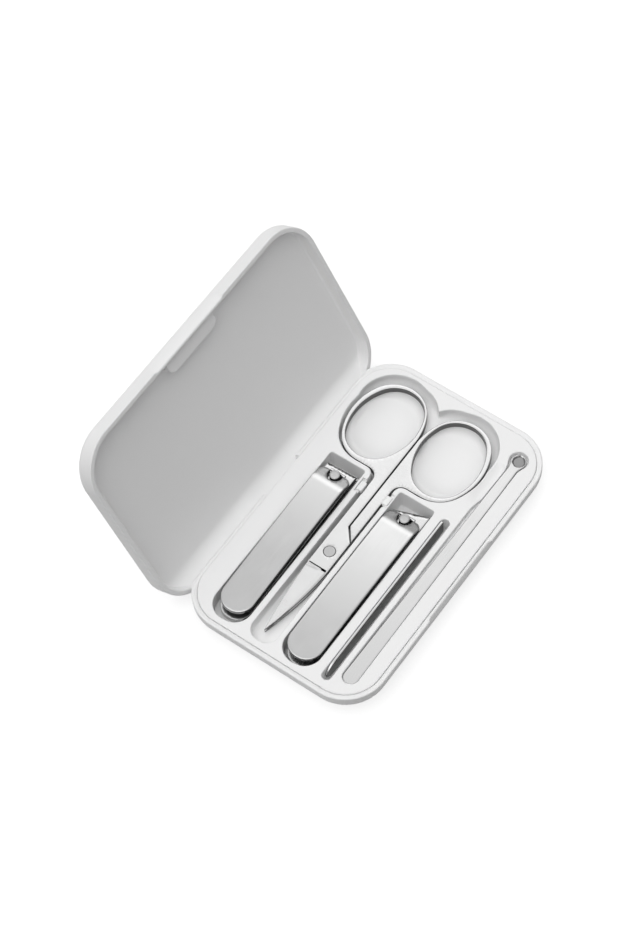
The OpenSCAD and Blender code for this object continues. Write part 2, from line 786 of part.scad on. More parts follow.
module clipper_lever(l, w, tail_h, knee_h, post_h) {
    half = lever_t / 2;
    tail = [half - l, tail_h - half];
    knee = [-knee_x, knee_h - half];
    hook = [hook_x, hook_z(post_h)];
    difference() {
        intersection() {
            along_y(w) {
                strip(tail, knee, lever_t);
                strip(knee, hook, lever_t);
            }
            linear_extrude(past) bar(-l, hook_x + half, w, w * lever_tail_round, lever_front_r);
        }
        linear_extrude(past) bar(-hole_w / 2, past, hole_w, hole_w / 2 - bite, bite);
    }
    translate([hook_x, 0, hook[1]]) rotate([90, 0, 0]) cylinder(hole_w + bite, r = bar_r, center = true);
}

module finger_clipper_lower_arm() color(steel) in_finger_pocket()
    lower_arm(finger_arm_l, finger_arm_w, finger_jaw_x, finger_jaw_gap, finger_post_h, finger_slant);
module finger_clipper_upper_arm() color(bright) in_finger_pocket()
    upper_arm(finger_arm_l, finger_arm_w, finger_jaw_x, finger_jaw_gap, finger_post_h, finger_slant);
module finger_clipper_rear_rivet() color(steel) in_finger_pocket() rear_rivet(finger_arm_l);
module finger_clipper_pin() color(steel) in_finger_pocket() clipper_pin(finger_post_h);
module finger_clipper_lever() color(bright) in_finger_pocket()
    clipper_lever(finger_lever_l, finger_lever_w, finger_tail_h, finger_knee_h, finger_post_h);

module toe_clipper_lower_arm() color(steel) in_toe_pocket()
    lower_arm(toe_arm_l, toe_arm_w, toe_jaw_x, toe_jaw_gap, toe_post_h, toe_slant);
module toe_clipper_upper_arm() color(bright) in_toe_pocket()
    upper_arm(toe_arm_l, toe_arm_w, toe_jaw_x, toe_jaw_gap, toe_post_h, toe_slant);
module toe_clipper_rear_rivet() color(steel) in_toe_pocket() rear_rivet(toe_arm_l);
module toe_clipper_pin() color(steel) in_toe_pocket() clipper_pin(toe_post_h);
module toe_clipper_lever() color(bright) in_toe_pocket()
    clipper_lever(toe_lever_l, toe_lever_w, toe_tail_h, toe_knee_h, toe_post_h);

// The scissors' origin is the pivot, on the pocket's floor
module at_pivot() translate([pivot_x, scissors_y, rim_z - scissors_depth]) children();

// Where the two halves part: from the outer edge near the pivot to the middle line
part_near = 6.7;
part_far = 12.1;
// The crossing plate runs this far on into its own shank
plate_over = 1;
tip_y = 0.9;

// The blades' edges bulge from their chords by these rises, on the +Y and the -Y side
blade_rise = [0.5, -0.85];

// A blade's edge is a shallow arc: a chord from the shoulder to the tip, plus a parabola
function blade_edge(from, rise, n = 12) =
    let (tip = [-blade_l, tip_y], root = [-shoulder_x, from])
    [for (i = [0:n]) let (u = i / n) [root[0] + (tip[0] - root[0]) * u,
        root[1] + (tip[1] - root[1]) * u + 4 * rise * u * (1 - u)]];

function reversed(list) = [for (i = [len(list) - 1:-1:0]) list[i]];

module blade_outline() polygon(concat(blade_edge(shank_half - blade_in, blade_rise[0]),
    reversed(blade_edge(blade_in - shank_half, blade_rise[1]))));

// One half, with its ring on the +Y side: its crossing plate and blade from z0 up, and its
// shank and ring at full height. Both blades cover each other, so the lower one is turned over.
module scissors_half(z0, blade_h, over) {
    ring_left = ring_x - ring_a;
    difference() {
        union() {
            translate([0, 0, z0]) {
                linear_extrude(half_t)
                    polygon([[-shoulder_x, -shank_half], [part_near, -shank_half], [part_far, parting_half],
                             [part_far + plate_over, shank_half], [-shoulder_x, shank_half]]);
                linear_extrude(blade_h) mirror([0, over, 0]) blade_outline();
            }
            translate([0, 0, shank_rise]) linear_extrude(scissors_h - shank_drop - shank_rise) {
                polygon([[part_near + joint_gap, shank_half], [part_far + joint_gap, parting_half],
                         [ring_x, parting_half], [ring_x, ring_y],
                         [ring_left, ring_y], [ring_left, shank_half]]);
                translate([ring_left, shank_half]) corner_fillet(root_r);
                translate([ring_x, ring_y]) oval(ring_a, ring_b, ring_end_r);
            }
        }
        translate([ring_x + hole_shift, ring_y, -proud]) rotate([0, 0, hole_turn]) linear_extrude(past)
            oval(ring_a - ring_band, ring_b - ring_band, ring_end_r - ring_band);
        cylinder(past, r = screw_r + screw_fit, center = true);
        translate([0, 0, scissors_h - screw_sunk - screw_head_t - screw_fit])
            cylinder(past, r = screw_head_r + screw_fit);
    }
}

module scissors_top_half() color(bright) at_pivot() scissors_half(half_t + half_gap, blade_t, 0);
module scissors_bottom_half() color(steel) at_pivot() mirror([0, 1, 0]) scissors_half(0, half_t, 1);
module scissors_pivot_screw() color(bright) at_pivot() {
    cylinder(scissors_h - screw_sunk - screw_head_t / 2, r = screw_r);
    translate([0, 0, scissors_h - screw_sunk - screw_head_t]) cylinder(screw_head_t, r = screw_head_r);
}

module nail_file() color(bright)
    translate([file_tail_x, file_y + slot_w / 2 - file_side_gap - file_t / 2, rim_z - file_depth])
        along_y(file_t) intersection() {
            square([file_l, file_h]);
            union() {
                translate([file_h, 0]) square([past, file_h]);
                translate([file_h, 0]) circle(file_h);
            }
        }

module ear_pick() color(bright) translate([0, pick_y, rim_z - pick_depth]) difference() {
    linear_extrude(pick_t) {
        tail_r = pick_w / 2;
        x = pick_tail_x + tail_r;
        y = tail_r - bite;
        translate([x, 0]) circle(tail_r);
        polygon([[x, -y], [pick_neck_x, -neck_w / 2], [spoon_x, -neck_w / 2],
                 [spoon_x, neck_w / 2], [pick_neck_x, neck_w / 2], [x, y]]);
        translate([spoon_x, 0]) circle(spoon_r);
    }
    translate([spoon_x, 0, pick_t + spoon_dish_r - spoon_dish_d]) sphere(spoon_dish_r);
}

base_shell();
tray_insert();
base_magnets();
hinge_pin();
lid_shell();
lid_magnet_cover();
lid_magnets();
finger_clipper_lower_arm();
finger_clipper_upper_arm();
finger_clipper_rear_rivet();
finger_clipper_pin();
finger_clipper_lever();
toe_clipper_lower_arm();
toe_clipper_upper_arm();
toe_clipper_rear_rivet();
toe_clipper_pin();
toe_clipper_lever();
scissors_top_half();
scissors_bottom_half();
scissors_pivot_screw();
nail_file();
ear_pick();
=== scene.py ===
"""The looks of an open manicure case: a white moulded case, its tray, and the steel tools in it.

Lengths in this script are millimetres in the frame of the case: X along the case towards the
scissors' rings, Y towards the hinge, Z up from the table. Meshes are stored in metres.
"""

import math

import bmesh
import bpy
import numpy as np
from mathutils import Matrix, Vector
from mathutils.geometry import delaunay_2d_cdt


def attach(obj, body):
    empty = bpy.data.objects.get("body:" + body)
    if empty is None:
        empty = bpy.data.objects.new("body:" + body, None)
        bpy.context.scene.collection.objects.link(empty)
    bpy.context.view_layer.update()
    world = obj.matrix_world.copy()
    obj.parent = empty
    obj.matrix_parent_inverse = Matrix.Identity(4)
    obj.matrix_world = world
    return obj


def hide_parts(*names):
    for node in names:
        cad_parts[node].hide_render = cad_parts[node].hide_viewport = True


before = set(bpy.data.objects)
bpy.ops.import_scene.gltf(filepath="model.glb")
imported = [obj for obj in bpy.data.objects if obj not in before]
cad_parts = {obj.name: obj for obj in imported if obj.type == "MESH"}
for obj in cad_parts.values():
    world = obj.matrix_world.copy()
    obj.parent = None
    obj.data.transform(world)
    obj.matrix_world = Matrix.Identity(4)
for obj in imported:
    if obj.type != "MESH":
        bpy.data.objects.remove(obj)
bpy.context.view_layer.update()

MM = 0.001

# Sizes, as in the CAD: case, hinge, thumb notch, lid and its magnet cover

CASE_L, CASE_W, BASE_H, CORNER_R, EDGE_R = 128.0, 80.4, 11.0, 16.5, 9.0
WALL_T, FLOOR_T, RIM_W, TRAY_GAP, PLATE_T = 2.9, 1.8, 2.0, 0.15, 1.4
RIM = BASE_H
HINGE_R, BARREL_R, BARREL_HALF, SLOT_GAP = 3.5, 1.9, 9.8, 0.3
HINGE_Y, HINGE_Z = CASE_W / 2 - HINGE_R, RIM - HINGE_R
KNUCKLE_HALF, KNUCKLE_FRONT, SLOT_FRONT, BACK_LIP = 16.3, 31.6, 2, 0.75
NOTCH_HALF, NOTCH_D, NOTCH_H = 19.0, 0.8, 2.6
LID_Z, LID_H, LID_DEPTH, LID_WALL, LID_EDGE_R, COVE_R = RIM + 0.1, 7.5, 5.0, 2.0, 2.4, 7.0
OPEN_ANGLE = math.radians(116)
COVER_HALF, COVER_W, COVER_SUNK = 13.35, 6.4, 1.5

# The tray's pockets: their middles in Y, their ends in X, their depths, and the tools' own places
FINGER_Y, SCISSORS_Y, TOE_Y, FILE_Y, PICK_Y = 21.6, 6.1, -9.05, -22.15, -29.35
TAIL_X, HEAD_X = -59.5, 18.0
FINGER_DEPTH, TOE_DEPTH, SCISSORS_DEPTH, FILE_DEPTH, PICK_DEPTH = 6.4, 7.2, 4.5, 7.3, 1.8
POCKET_TAIL_R, POCKET_HEAD_R, WELL_D = 6.9, 0.9, 9.0
POST_X = 9.6
PIVOT_X = -15.8
RING_X, RING_Y, RING_A, RING_B, RING_END_R, RING_BAND = 54.75, 14.25, 18.1, 14.1, 12.8, 1.7
FILE_SLOT_W = 3.7
PICK_TAIL_X, PICK_L, PICK_LEAN, SPOON_X = -55.5, 111, 0.45, 52.7
SNAP_X, SCOOP_D, DISH_D = 12.3, 1.15, 2.6


# Fields: the signed distance from points to outlines, negative inside

def disc(p, x, y, r):
    """Distance to a circle: the distance to its centre less its radius."""
    return np.hypot(p[:, 0] - x, p[:, 1] - y) - r


def bar(p, x0, x1, y, w, r0, r1):
    """Distance to a bar along X whose corners have radius r0 at x0 and r1 at x1."""
    r = np.where(p[:, 0] < (x0 + x1) / 2, r0, r1)
    qx = np.abs(p[:, 0] - (x0 + x1) / 2) - (x1 - x0) / 2 + r
    qy = np.abs(p[:, 1] - y) - w / 2 + r
    return np.hypot(np.maximum(qx, 0), np.maximum(qy, 0)) + np.minimum(np.maximum(qx, qy), 0) - r


def oval(p, x, y, a, b, r):
    """Distance to an oval of four tangent arcs: half length a, half width b, end radius r.

    A flank's arc has the radius that makes it meet the end arcs without a corner.
    """
    side = ((a - r) ** 2 + b * b - r * r) / (2 * (b - r))
    u, v = np.abs(p[:, 0] - x), np.abs(p[:, 1] - y)
    steep = v * (a - r) > (u - (a - r)) * -(side - b)
    along = u * (side - b) < (a - r) * (v + side - b)
    flank = np.hypot(u, v + side - b) - side
    end = np.hypot(u - (a - r), v) - r
    return np.where(along & steep, flank, end)


def enclosed(p, a, b):
    """Whether points lie inside closed outlines whose edges run from a to b.

    A line from such a point along +X crosses an odd number of edges.
    """
    crosses = (a[:, 1] > p[:, 1:2]) != (b[:, 1] > p[:, 1:2])
    rise = np.where(b[:, 1] == a[:, 1], 1.0, b[:, 1] - a[:, 1])
    left = p[:, :1] < a[:, 0] + (p[:, 1:2] - a[:, 1]) * (b[:, 0] - a[:, 0]) / rise
    return (crosses & left).sum(1) % 2 == 1


def patch(p, corners):
    """Distance to a polygon: the least distance to its edges, negative where the point is inside."""
    a = np.array(corners, float)
    b = np.roll(a, -1, 0)
    e = b - a
    w = p[:, None] - a[None]
    t = np.clip((w * e).sum(2) / (e * e).sum(1), 0, 1)
    d = np.linalg.norm(w - t[..., None] * e, axis=2).min(1)
    return np.where(enclosed(p, a, b), -d, d)


def join(a, b, k):
    """Union of two fields, with a fillet of about k where their outlines meet."""
    h = np.clip(0.5 + 0.5 * (b - a) / k, 0, 1)
    return b + (a - b) * h - k * h * (1 - h)


def cut(a, b, k):
    """Field a less field b, with the corners between them rounded by about k."""
    return -join(-a, b, k)


# Closed paths

def evenly(p, n):
    """n points at even steps along a closed path."""
    q = np.vstack([p, p[:1]])
    s = np.concatenate([[0], np.cumsum(np.linalg.norm(np.diff(q, axis=0), axis=1))])
    t = np.linspace(0, s[-1], n, endpoint=False)
    return np.c_[np.interp(t, s, q[:, 0]), np.interp(t, s, q[:, 1])]


def slope(field, p):
    """Gradient of a field by central differences."""
    h = 0.01
    dx, dy = np.array([h, 0]), np.array([0, h])
    return np.c_[field(p + dx) - field(p - dx), field(p + dy) - field(p - dy)] / (2 * h)


def shift(field, p, level, rounds=8):
    """Moves points along the field's gradient until the field has the value level there."""
    for _ in range(rounds):
        g = slope(field, p)
        size = np.maximum((g * g).sum(1), 0.05)
        p = p - g * ((field(p) - level) / size)[:, None]
    return p


def outline(field, rough, n, rounds=12):
    """A rough closed path, relaxed onto the field's zero line and spread evenly along it."""
    p = evenly(np.array(rough, float), n)
    for _ in range(rounds):
        p = evenly(shift(field, p, 0.0, 2), n)
    p = shift(field, p, 0.0)
    area = (p[:, 0] * np.roll(p[:, 1], -1) - p[:, 1] * np.roll(p[:, 0], -1)).sum()
    return p if area > 0 else p[::-1]


def around(x, y, r, n):
    """n points round a circle."""
    t = np.linspace(0, 2 * math.pi, n, endpoint=False)
    return np.c_[x + r * np.cos(t), y + r * np.sin(t)]


def box_path(x0, x1, y0, y1):
    """The corners of a rectangle."""
    return [(x0, y0), (x1, y0), (x1, y1), (x0, y1)]


def raised(p, z):
    """Points of a plan set at a height, one for all or one for each."""
    return np.c_[p, np.broadcast_to(z, (len(p),))]


def level(z):
    """A flat face: the function that gives one height for all points."""
    return lambda p: np.full(len(p), float(z))


# Skins: the vertices and faces of one piece

class Skin:
    """Vertices and faces of a piece while it is made, in millimetres."""

    def __init__(self):
        self.v = np.zeros((0, 3))
        self.f = []

    def ring(self, points):
        """Adds points and gives their vertex numbers."""
        start = len(self.v)
        self.v = np.vstack([self.v, points])
        return np.arange(start, len(self.v))

    def loft(self, rings):
        """Closed rings of equal length, joined one to the next by quads; gives their vertex numbers."""
        ids = [self.ring(r) for r in rings]
        for a, b in zip(ids, ids[1:]):
            self.f += np.c_[a, np.roll(a, -1), np.roll(b, -1), b].tolist()
        return ids

    def solid(self, rings):
        """Joined rings with a flat face over each end."""
        ids = self.loft(rings)
        self.f += [ids[0].tolist(), ids[-1].tolist()]

    def take(self, other):
        """Adds another skin's vertices and faces."""
        start = len(self.v)
        self.v = np.vstack([self.v, other.v])
        self.f += [[k + start for k in f] for f in other.f]

    def fill(self, loops, height=None, extra=None):
        """Triangles between closed loops, by a constrained triangulation seen from above.

        extra holds further points of the plan, and height(points) is their height.
        """
        ids = np.concatenate(loops)
        if extra is not None and len(extra):
            ids = np.concatenate([ids, self.ring(raised(extra, height(extra)))])
        edges, start = [], 0
        for loop in loops:
            k = np.arange(len(loop)) + start
            edges += np.c_[k, np.roll(k, -1)].tolist()
            start += len(loop)
        xy = self.v[ids, :2]
        out = delaunay_2d_cdt([Vector(q) for q in xy], edges, [], 0, 1e-6)
        first = np.array([o[0] if len(o) else -1 for o in out[3]])
        tri = first[np.array(out[2])]
        tri = tri[(tri >= 0).all(1)]
        mid = xy[tri].mean(1)
        ends = np.array(edges)
        a, b = xy[ends[:, 0]], xy[ends[:, 1]]
        inside = [enclosed(part, a, b) for part in np.array_split(mid, max(1, len(mid) // 2000))]
        self.f += ids[tri[np.concatenate(inside)]].tolist()


def grid(x0, x1, y0, y1, step):
    """Points on a square grid, every other row set half a step on."""
    x, y = np.meshgrid(np.arange(x0, x1, step), np.arange(y0, y1, step))
    x = x + (np.arange(len(x)) % 2)[:, None] * step / 2
    return np.c_[x.ravel(), y.ravel()]


def plate(skin, edges, low, high, field, step=None, turns=5, lines=None):
    """A sheet with rounded edges: its outlines, and its under and upper faces as heights.

    Going round an outline, the inset is e(1 - cos a) and the drop e(1 - sin a), for an angle a
    from 90 to 0 degrees at the upper face and back at the under face.
    edges is a list of (path, e above, e below), the outer outline first and then the holes.
    lines holds further points for the faces, along a step in their heights.
    """
    angles = np.linspace(math.pi / 2, 0, turns)
    tops, bottoms = [], []
    for path, above, below in edges:
        rings = []
        for a in angles:
            q = shift(field, path, -above * (1 - math.cos(a)), 4)
            rings.append(np.c_[q, high(q) - above * (1 - math.sin(a))])
        for a in angles[::-1]:
            q = shift(field, path, -below * (1 - math.cos(a)), 4)
            rings.append(np.c_[q, low(q) + below * (1 - math.sin(a))])
        ids = skin.loft(rings)
        tops.append(ids[0])
        bottoms.append(ids[-1])
    extra = None
    if step:
        p = edges[0][0]
        g = grid(p[:, 0].min(), p[:, 0].max(), p[:, 1].min(), p[:, 1].max(), step)
        extra = g[field(g) < -max(e for _, e, _ in edges) - 0.4 * step]
        if lines is not None:
            extra = np.vstack([extra, lines])
    skin.fill(tops, high, extra)
    skin.fill(bottoms, low, extra)


def turned(skin, profile, x, y, n=96):
    """A turned piece: a profile of (radius, height) carried round an upright axis at x, y."""
    skin.solid([raised(around(x, y, max(r, 1e-4), n), z) for r, z in profile])


def rounded_profile(r, z0, z1, e0, e1, turns=5):
    """Profile of a disc from z0 to z1 with edge radii e0 below and e1 above, from axis to axis."""
    a = np.linspace(0, math.pi / 2, turns)
    low = [(r - e0 + e0 * math.sin(t), z0 + e0 - e0 * math.cos(t)) for t in a]
    up = [(r - e1 + e1 * math.cos(t), z1 - e1 + e1 * math.sin(t)) for t in a]
    return low + up


# Materials

COLOUR, NUMBER, VECTOR = "NodeSocketColor", "NodeSocketFloat", "NodeSocketVector"
BUMP_DEPTH = 0.00002
# broad unevenness in cycles per metre, and how far it moves the roughness
MOULD_PATCHES, MOULD_SPREAD = 55, 0.12
STEEL_PATCHES, STEEL_SPREAD = 90, 0.15
# cycles per metre of a steel's lines along X, Y and Z
LONG_LINES = (60, 3000, 3000)


def grey(v):
    """A colour with one value in all its channels."""
    return (v, v, v, 1)


def add_node(tree, kind, inputs=None, **settings):
    """A shader node: its settings first, then each input set to a value or linked to a socket."""
    node = tree.nodes.new("ShaderNode" + kind)
    for name, value in settings.items():
        setattr(node, name, value)
    for key, value in (inputs or {}).items():
        if isinstance(value, bpy.types.NodeSocket):
            tree.links.new(value, node.inputs[key])
        else:
            node.inputs[key].default_value = value
    return node


def new_group(name, inputs):
    """A node group with named inputs and the three outputs of a finish, and both ends' sockets."""
    tree = bpy.data.node_groups.new(name, "ShaderNodeTree")
    for label, kind, value in inputs:
        tree.interface.new_socket(label, in_out="INPUT", socket_type=kind).default_value = value
    for label, kind in (("Colour", COLOUR), ("Roughness", NUMBER), ("Height", NUMBER)):
        tree.interface.new_socket(label, in_out="OUTPUT", socket_type=kind)
    return tree, tree.nodes.new("NodeGroupInput").outputs, tree.nodes.new("NodeGroupOutput").inputs


def finish_group(tree, given, made, noise, spread, height):
    """Ends a group: colour times 1 + Uneven x noise, roughness Gloss + spread x noise, and height.

    The noise is centred on zero.
    """
    factor = add_node(tree, "Math", {0: noise, 1: given["Uneven"], 2: 1}, operation="MULTIPLY_ADD")
    tone = add_node(tree, "VectorMath", {0: given["Colour"], "Scale": factor.outputs[0]}, operation="SCALE")
    rough = add_node(tree, "Math", {0: noise, 1: spread, 2: given["Gloss"]}, operation="MULTIPLY_ADD")
    tree.links.new(tone.outputs[0], made["Colour"])
    tree.links.new(rough.outputs[0], made["Roughness"])
    tree.links.new(height, made["Height"])


def moulded_group():
    """Moulded plastic: a fine skin texture in the height, and a faint unevenness in tone."""
    tree, given, made = new_group("moulded_skin", [
        ("Colour", COLOUR, grey(0.9)), ("Grain", NUMBER, 2600.0), ("Uneven", NUMBER, 0.02),
        ("Gloss", NUMBER, 0.4)])
    where = add_node(tree, "TexCoord").outputs["Object"]
    fine = add_node(tree, "TexNoise", {"Vector": where, "Scale": given["Grain"], "Detail": 3})
    broad = add_node(tree, "TexNoise", {"Vector": where, "Scale": MOULD_PATCHES, "Detail": 2})
    noise = add_node(tree, "Math", {0: broad.outputs["Fac"], 1: 0.5}, operation="SUBTRACT")
    finish_group(tree, given, made, noise.outputs[0], MOULD_SPREAD, fine.outputs["Fac"])
    return tree


def brushed_group():
    """Brushed steel: noise drawn out along one direction, for tone, gloss and height."""
    tree, given, made = new_group("brushed_steel", [
        ("Colour", COLOUR, grey(0.7)), ("Stretch", VECTOR, LONG_LINES), ("Uneven", NUMBER, 0.05),
        ("Gloss", NUMBER, 0.3)])
    where = add_node(tree, "TexCoord").outputs["Object"]
    drawn = add_node(tree, "VectorMath", {0: where, 1: given["Stretch"]}, operation="MULTIPLY")
    lines = add_node(tree, "TexNoise", {"Vector": drawn.outputs[0], "Scale": 1, "Detail": 4})
    broad = add_node(tree, "TexNoise", {"Vector": where, "Scale": STEEL_PATCHES})
    both = add_node(tree, "Math", {0: lines.outputs["Fac"], 1: broad.outputs["Fac"]}, operation="ADD")
    noise = add_node(tree, "Math", {0: both.outputs[0], 1: 1}, operation="SUBTRACT")
    finish_group(tree, given, made, noise.outputs[0], STEEL_SPREAD, lines.outputs["Fac"])
    return tree


MOULDED, BRUSHED = moulded_group(), brushed_group()


def finish_of(name, group, values, metallic, bump):
    """A material: the group's colour, roughness and height on one Principled shader."""
    m = bpy.data.materials.new(name)
    m.use_nodes = True
    tree, shader = m.node_tree, m.node_tree.nodes["Principled BSDF"]
    g = tree.nodes.new("ShaderNodeGroup")
    g.node_tree = group
    for label, value in values.items():
        g.inputs[label].default_value = value
    b = add_node(tree, "Bump", {"Strength": bump, "Distance": BUMP_DEPTH, "Height": g.outputs["Height"]})
    tree.links.new(g.outputs["Colour"], shader.inputs["Base Color"])
    tree.links.new(g.outputs["Roughness"], shader.inputs["Roughness"])
    tree.links.new(b.outputs["Normal"], shader.inputs["Normal"])
    shader.inputs["Metallic"].default_value = metallic
    return m


def plastic(name, gloss):
    """The white plastic of the case, with its roughness."""
    return finish_of(name, MOULDED, {"Colour": grey(0.88), "Gloss": gloss}, 0.0, 0.25)


def steel(name, tone, gloss, bump, uneven=0.05, stretch=LONG_LINES):
    """A metal: its tone, roughness, strength of its lines, unevenness, and its lines' direction."""
    values = {"Colour": grey(tone), "Gloss": gloss, "Uneven": uneven, "Stretch": stretch}
    return finish_of(name, BRUSHED, values, 1.0, bump)


CASE_SKIN = plastic("case_plastic", 0.42)
TRAY_SKIN = plastic("tray_plastic", 0.46)
LEVER_STEEL = steel("lever_steel", 0.52, 0.2, 0.03, 0.015)
ARM_STEEL = steel("arm_steel", 0.55, 0.25, 0.04, 0.02)
PIN_STEEL = steel("pin_steel", 0.38, 0.25, 0.05, 0.03, (500, 500, 500))
BLADE_STEEL = steel("scissors_steel", 0.55, 0.24, 0.04, 0.02, (1500, 400, 400))
FILE_STEEL = steel("file_steel", 0.26, 0.5, 0.6, stretch=(4000, 4000, 4000))
PICK_STEEL = steel("pick_steel", 0.52, 0.24, 0.03, 0.015)
# near-black painted shade on the upright sides of the clippers' levers, arms and posts, standing in for the
# dark gaps beside them; the higher roughness is the sheared edges' own
SIDE_SHADE_STEEL = steel("painted_shade_side_steel", 0.08, 0.5, 0.2, 0.1, (900, 900, 200))
# dark painted shade on the scissors' upright sides and on the seat seen through their joint
SCISSORS_SIDE_SHADE_STEEL = steel("painted_shade_scissors_side", 0.15, 0.45, 0.2, 0.1, (900, 900, 200))
# the ear pick's sides and spoon hollow: rougher steel, with its darker tone painted shade
PICK_SHADE_STEEL = steel("painted_shade_pick_steel", 0.3, 0.5, 0.3, stretch=(2500, 2500, 2500))
MAGNET = steel("magnet", 0.3, 0.35, 0.1, stretch=(900, 900, 900))


# Pieces: from a skin to an object that rides its body

def mesh_of(name, skin, merge=True):
    """A skin's mesh in metres, its doubles merged if asked, with its faces turned outwards."""
    mesh = bpy.data.meshes.new(name)
    mesh.from_pydata((skin.v * MM).tolist(), [], skin.f)
    b = bmesh.new()
    b.from_mesh(mesh)
    if merge:
        bmesh.ops.remove_doubles(b, verts=b.verts, dist=1e-7)
    bmesh.ops.recalc_face_normals(b, faces=b.faces)
    b.to_mesh(mesh)
    b.free()
    return mesh


def shade(mesh, sharp=50):
    """Smooth faces, with sharp edges where two faces turn by more than an angle in degrees."""
    mesh.polygons.foreach_set("use_smooth", np.ones(len(mesh.polygons), bool))
    mesh.set_sharp_from_angle(angle=math.radians(sharp))


def add_piece(name, skin, body, nodes, material, sharp=50):
    """Makes the mesh object of a skin, rides it on its body and gives it its finish."""
    mesh = mesh_of(name, skin)
    shade(mesh, sharp)
    mesh.materials.append(material)
    o = bpy.data.objects.new(name, mesh)
    bpy.context.scene.collection.objects.link(o)
    even = o.modifiers.new("even_normals", "WEIGHTED_NORMAL")
    even.keep_sharp = True
    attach(o, body)
    if nodes:
        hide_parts(*nodes)
    return o


def faces_tail(n, c):
    """Picks the faces that look towards the tail, which keep the bright steel and get none of the painted
    shade on the sides.
    """
    return n[:, 0] < -0.6


def paint_side_shade_and_file_face(o, limit=0.42, material=SIDE_SHADE_STEEL, without=None, also=None):
    """Gives the upright sides of a piece a second, darker material: painted shade on the clippers, the
    scissors and the ear pick, and the file's own darker face on the file.

    They are the faces whose normal's height is under the limit, without the faces that
    without(normals, centres) picks, and with those that also(normals, centres) picks.
    """
    o.data.materials.append(material)
    n, c = np.zeros((2, len(o.data.polygons) * 3), np.float32)
    o.data.polygons.foreach_get("normal", n)
    o.data.polygons.foreach_get("center", c)
    n, c = n.reshape(-1, 3), c.reshape(-1, 3) / MM
    darker_faces = np.abs(n[:, 2]) < limit
    if without is not None:
        darker_faces &= ~without(n, c)
    if also is not None:
        darker_faces |= also(n, c)
    # darker_faces marks where the darker material goes; on the clippers, scissors and pick it is painted
    # shade
    o.data.polygons.foreach_set("material_index", darker_faces.astype(np.int32))
    return o


def subtract(o, skin, name):
    """Cuts a closed skin out of a piece, and removes the cutter."""
    tool = bpy.data.objects.new(name, mesh_of(name, skin, merge=False))
    bpy.context.scene.collection.objects.link(tool)
    m = o.modifiers.new(name, "BOOLEAN")
    m.operation, m.solver, m.object = "DIFFERENCE", "EXACT", tool
    others = [x for x in o.modifiers if x != m]
    for x in others:
        x.show_viewport = False
    dg = bpy.context.evaluated_depsgraph_get()
    o_cut = bpy.data.meshes.new_from_object(o.evaluated_get(dg))
    o.modifiers.remove(m)
    for x in others:
        x.show_viewport = True
    o.data = o_cut
    bpy.data.objects.remove(tool)
    shade(o.data)


# Case

# steps of the plan: round each corner, and along the sides that run along X and along Y
CORNER_STEPS, SIDE_STEPS_X, SIDE_STEPS_Y = 90, 115, 64


def slab_path(inset):
    """The case's plan, a rectangle with round corners, inset, with the same steps at each inset.

    Each point is a corner centre, or a point of a straight side, plus the corner radius times
    the outward direction.
    """
    mx, my = CASE_L / 2 - CORNER_R, CASE_W / 2 - CORNER_R
    corners = [(mx, -my, SIDE_STEPS_Y, 2 * my), (mx, my, SIDE_STEPS_X, 2 * mx),
               (-mx, my, SIDE_STEPS_Y, 2 * my), (-mx, -my, SIDE_STEPS_X, 2 * mx)]
    r = CORNER_R - inset
    parts = []
    for k, (cx, cy, run, length) in enumerate(corners):
        a = np.linspace(k * math.pi / 2 - math.pi / 2, k * math.pi / 2, CORNER_STEPS)
        parts.append(np.c_[cx + r * np.cos(a), cy + r * np.sin(a)])
        u = np.linspace(0, 1, run + 2)[1:-1] * length
        d = np.array([-math.sin(k * math.pi / 2), math.cos(k * math.pi / 2)])
        parts.append(parts[-1][-1] + u[:, None] * d)
    return np.vstack(parts)


def back_drop(p):
    """How far the round back edge lies below the rim: a circle about the hinge axis."""
    u = np.clip(p[:, 1] - HINGE_Y, 0, HINGE_R)
    return HINGE_R - np.sqrt(HINGE_R ** 2 - u ** 2)


def back_limit(z):
    """The Y that the base reaches at a height: the circle about the hinge axis, then a bevel."""
    dz = np.clip(z - HINGE_Z, -HINGE_R, HINGE_R)
    circle = HINGE_Y + np.sqrt(HINGE_R ** 2 - dz ** 2)
    bevel = math.radians(50)
    tz, ty = HINGE_Z - HINGE_R * math.sin(bevel), HINGE_Y + HINGE_R * math.cos(bevel)
    line = ty - (tz - z) * math.tan(bevel)
    return np.where(z < tz, line, circle)


def smooth(t):
    """A smooth step from 0 to 1: t squared times 3 - 2t, with t kept between 0 and 1."""
    t = np.clip(t, 0, 1)
    return t * t * (3 - 2 * t)


def notch(p, depth_below):
    """How far the thumb notch cuts back the front edge at a depth below or above the rim."""
    ends = smooth((NOTCH_HALF - np.abs(p[:, 0])) / 1.2 + 0.5)
    fade = np.clip(1 - depth_below / NOTCH_H, 0, 1)
    front = p[:, 1] < -CASE_W / 2 + 6
    return np.where(front, NOTCH_D * ends * fade, 0)


def base_profile():
    """(inset, height) pairs of the base's outside, from the middle of its underside to the rim."""
    edge = [(EDGE_R - EDGE_R * math.sin(t), EDGE_R - EDGE_R * math.cos(t))
            for t in np.linspace(0, math.pi / 2, 18)]
    lip = 0.5
    top = [(lip - lip * math.cos(t), RIM - lip + lip * math.sin(t)) for t in np.linspace(0, math.pi / 2, 6)]
    return [(EDGE_R + 3, 0), *edge, (0, 9.6), (0, 10.1), *top]


def base_hollow(p):
    """The hollow that the tray drops into, less the block that holds the hinge."""
    inner_r = CORNER_R - WALL_T
    whole = bar(p, -CASE_L / 2 + WALL_T, CASE_L / 2 - WALL_T, 0, CASE_W - 2 * WALL_T, inner_r, inner_r)
    return cut(whole, patch(p, box_path(-KNUCKLE_HALF, KNUCKLE_HALF, KNUCKLE_FRONT, CASE_W)), 1.0)


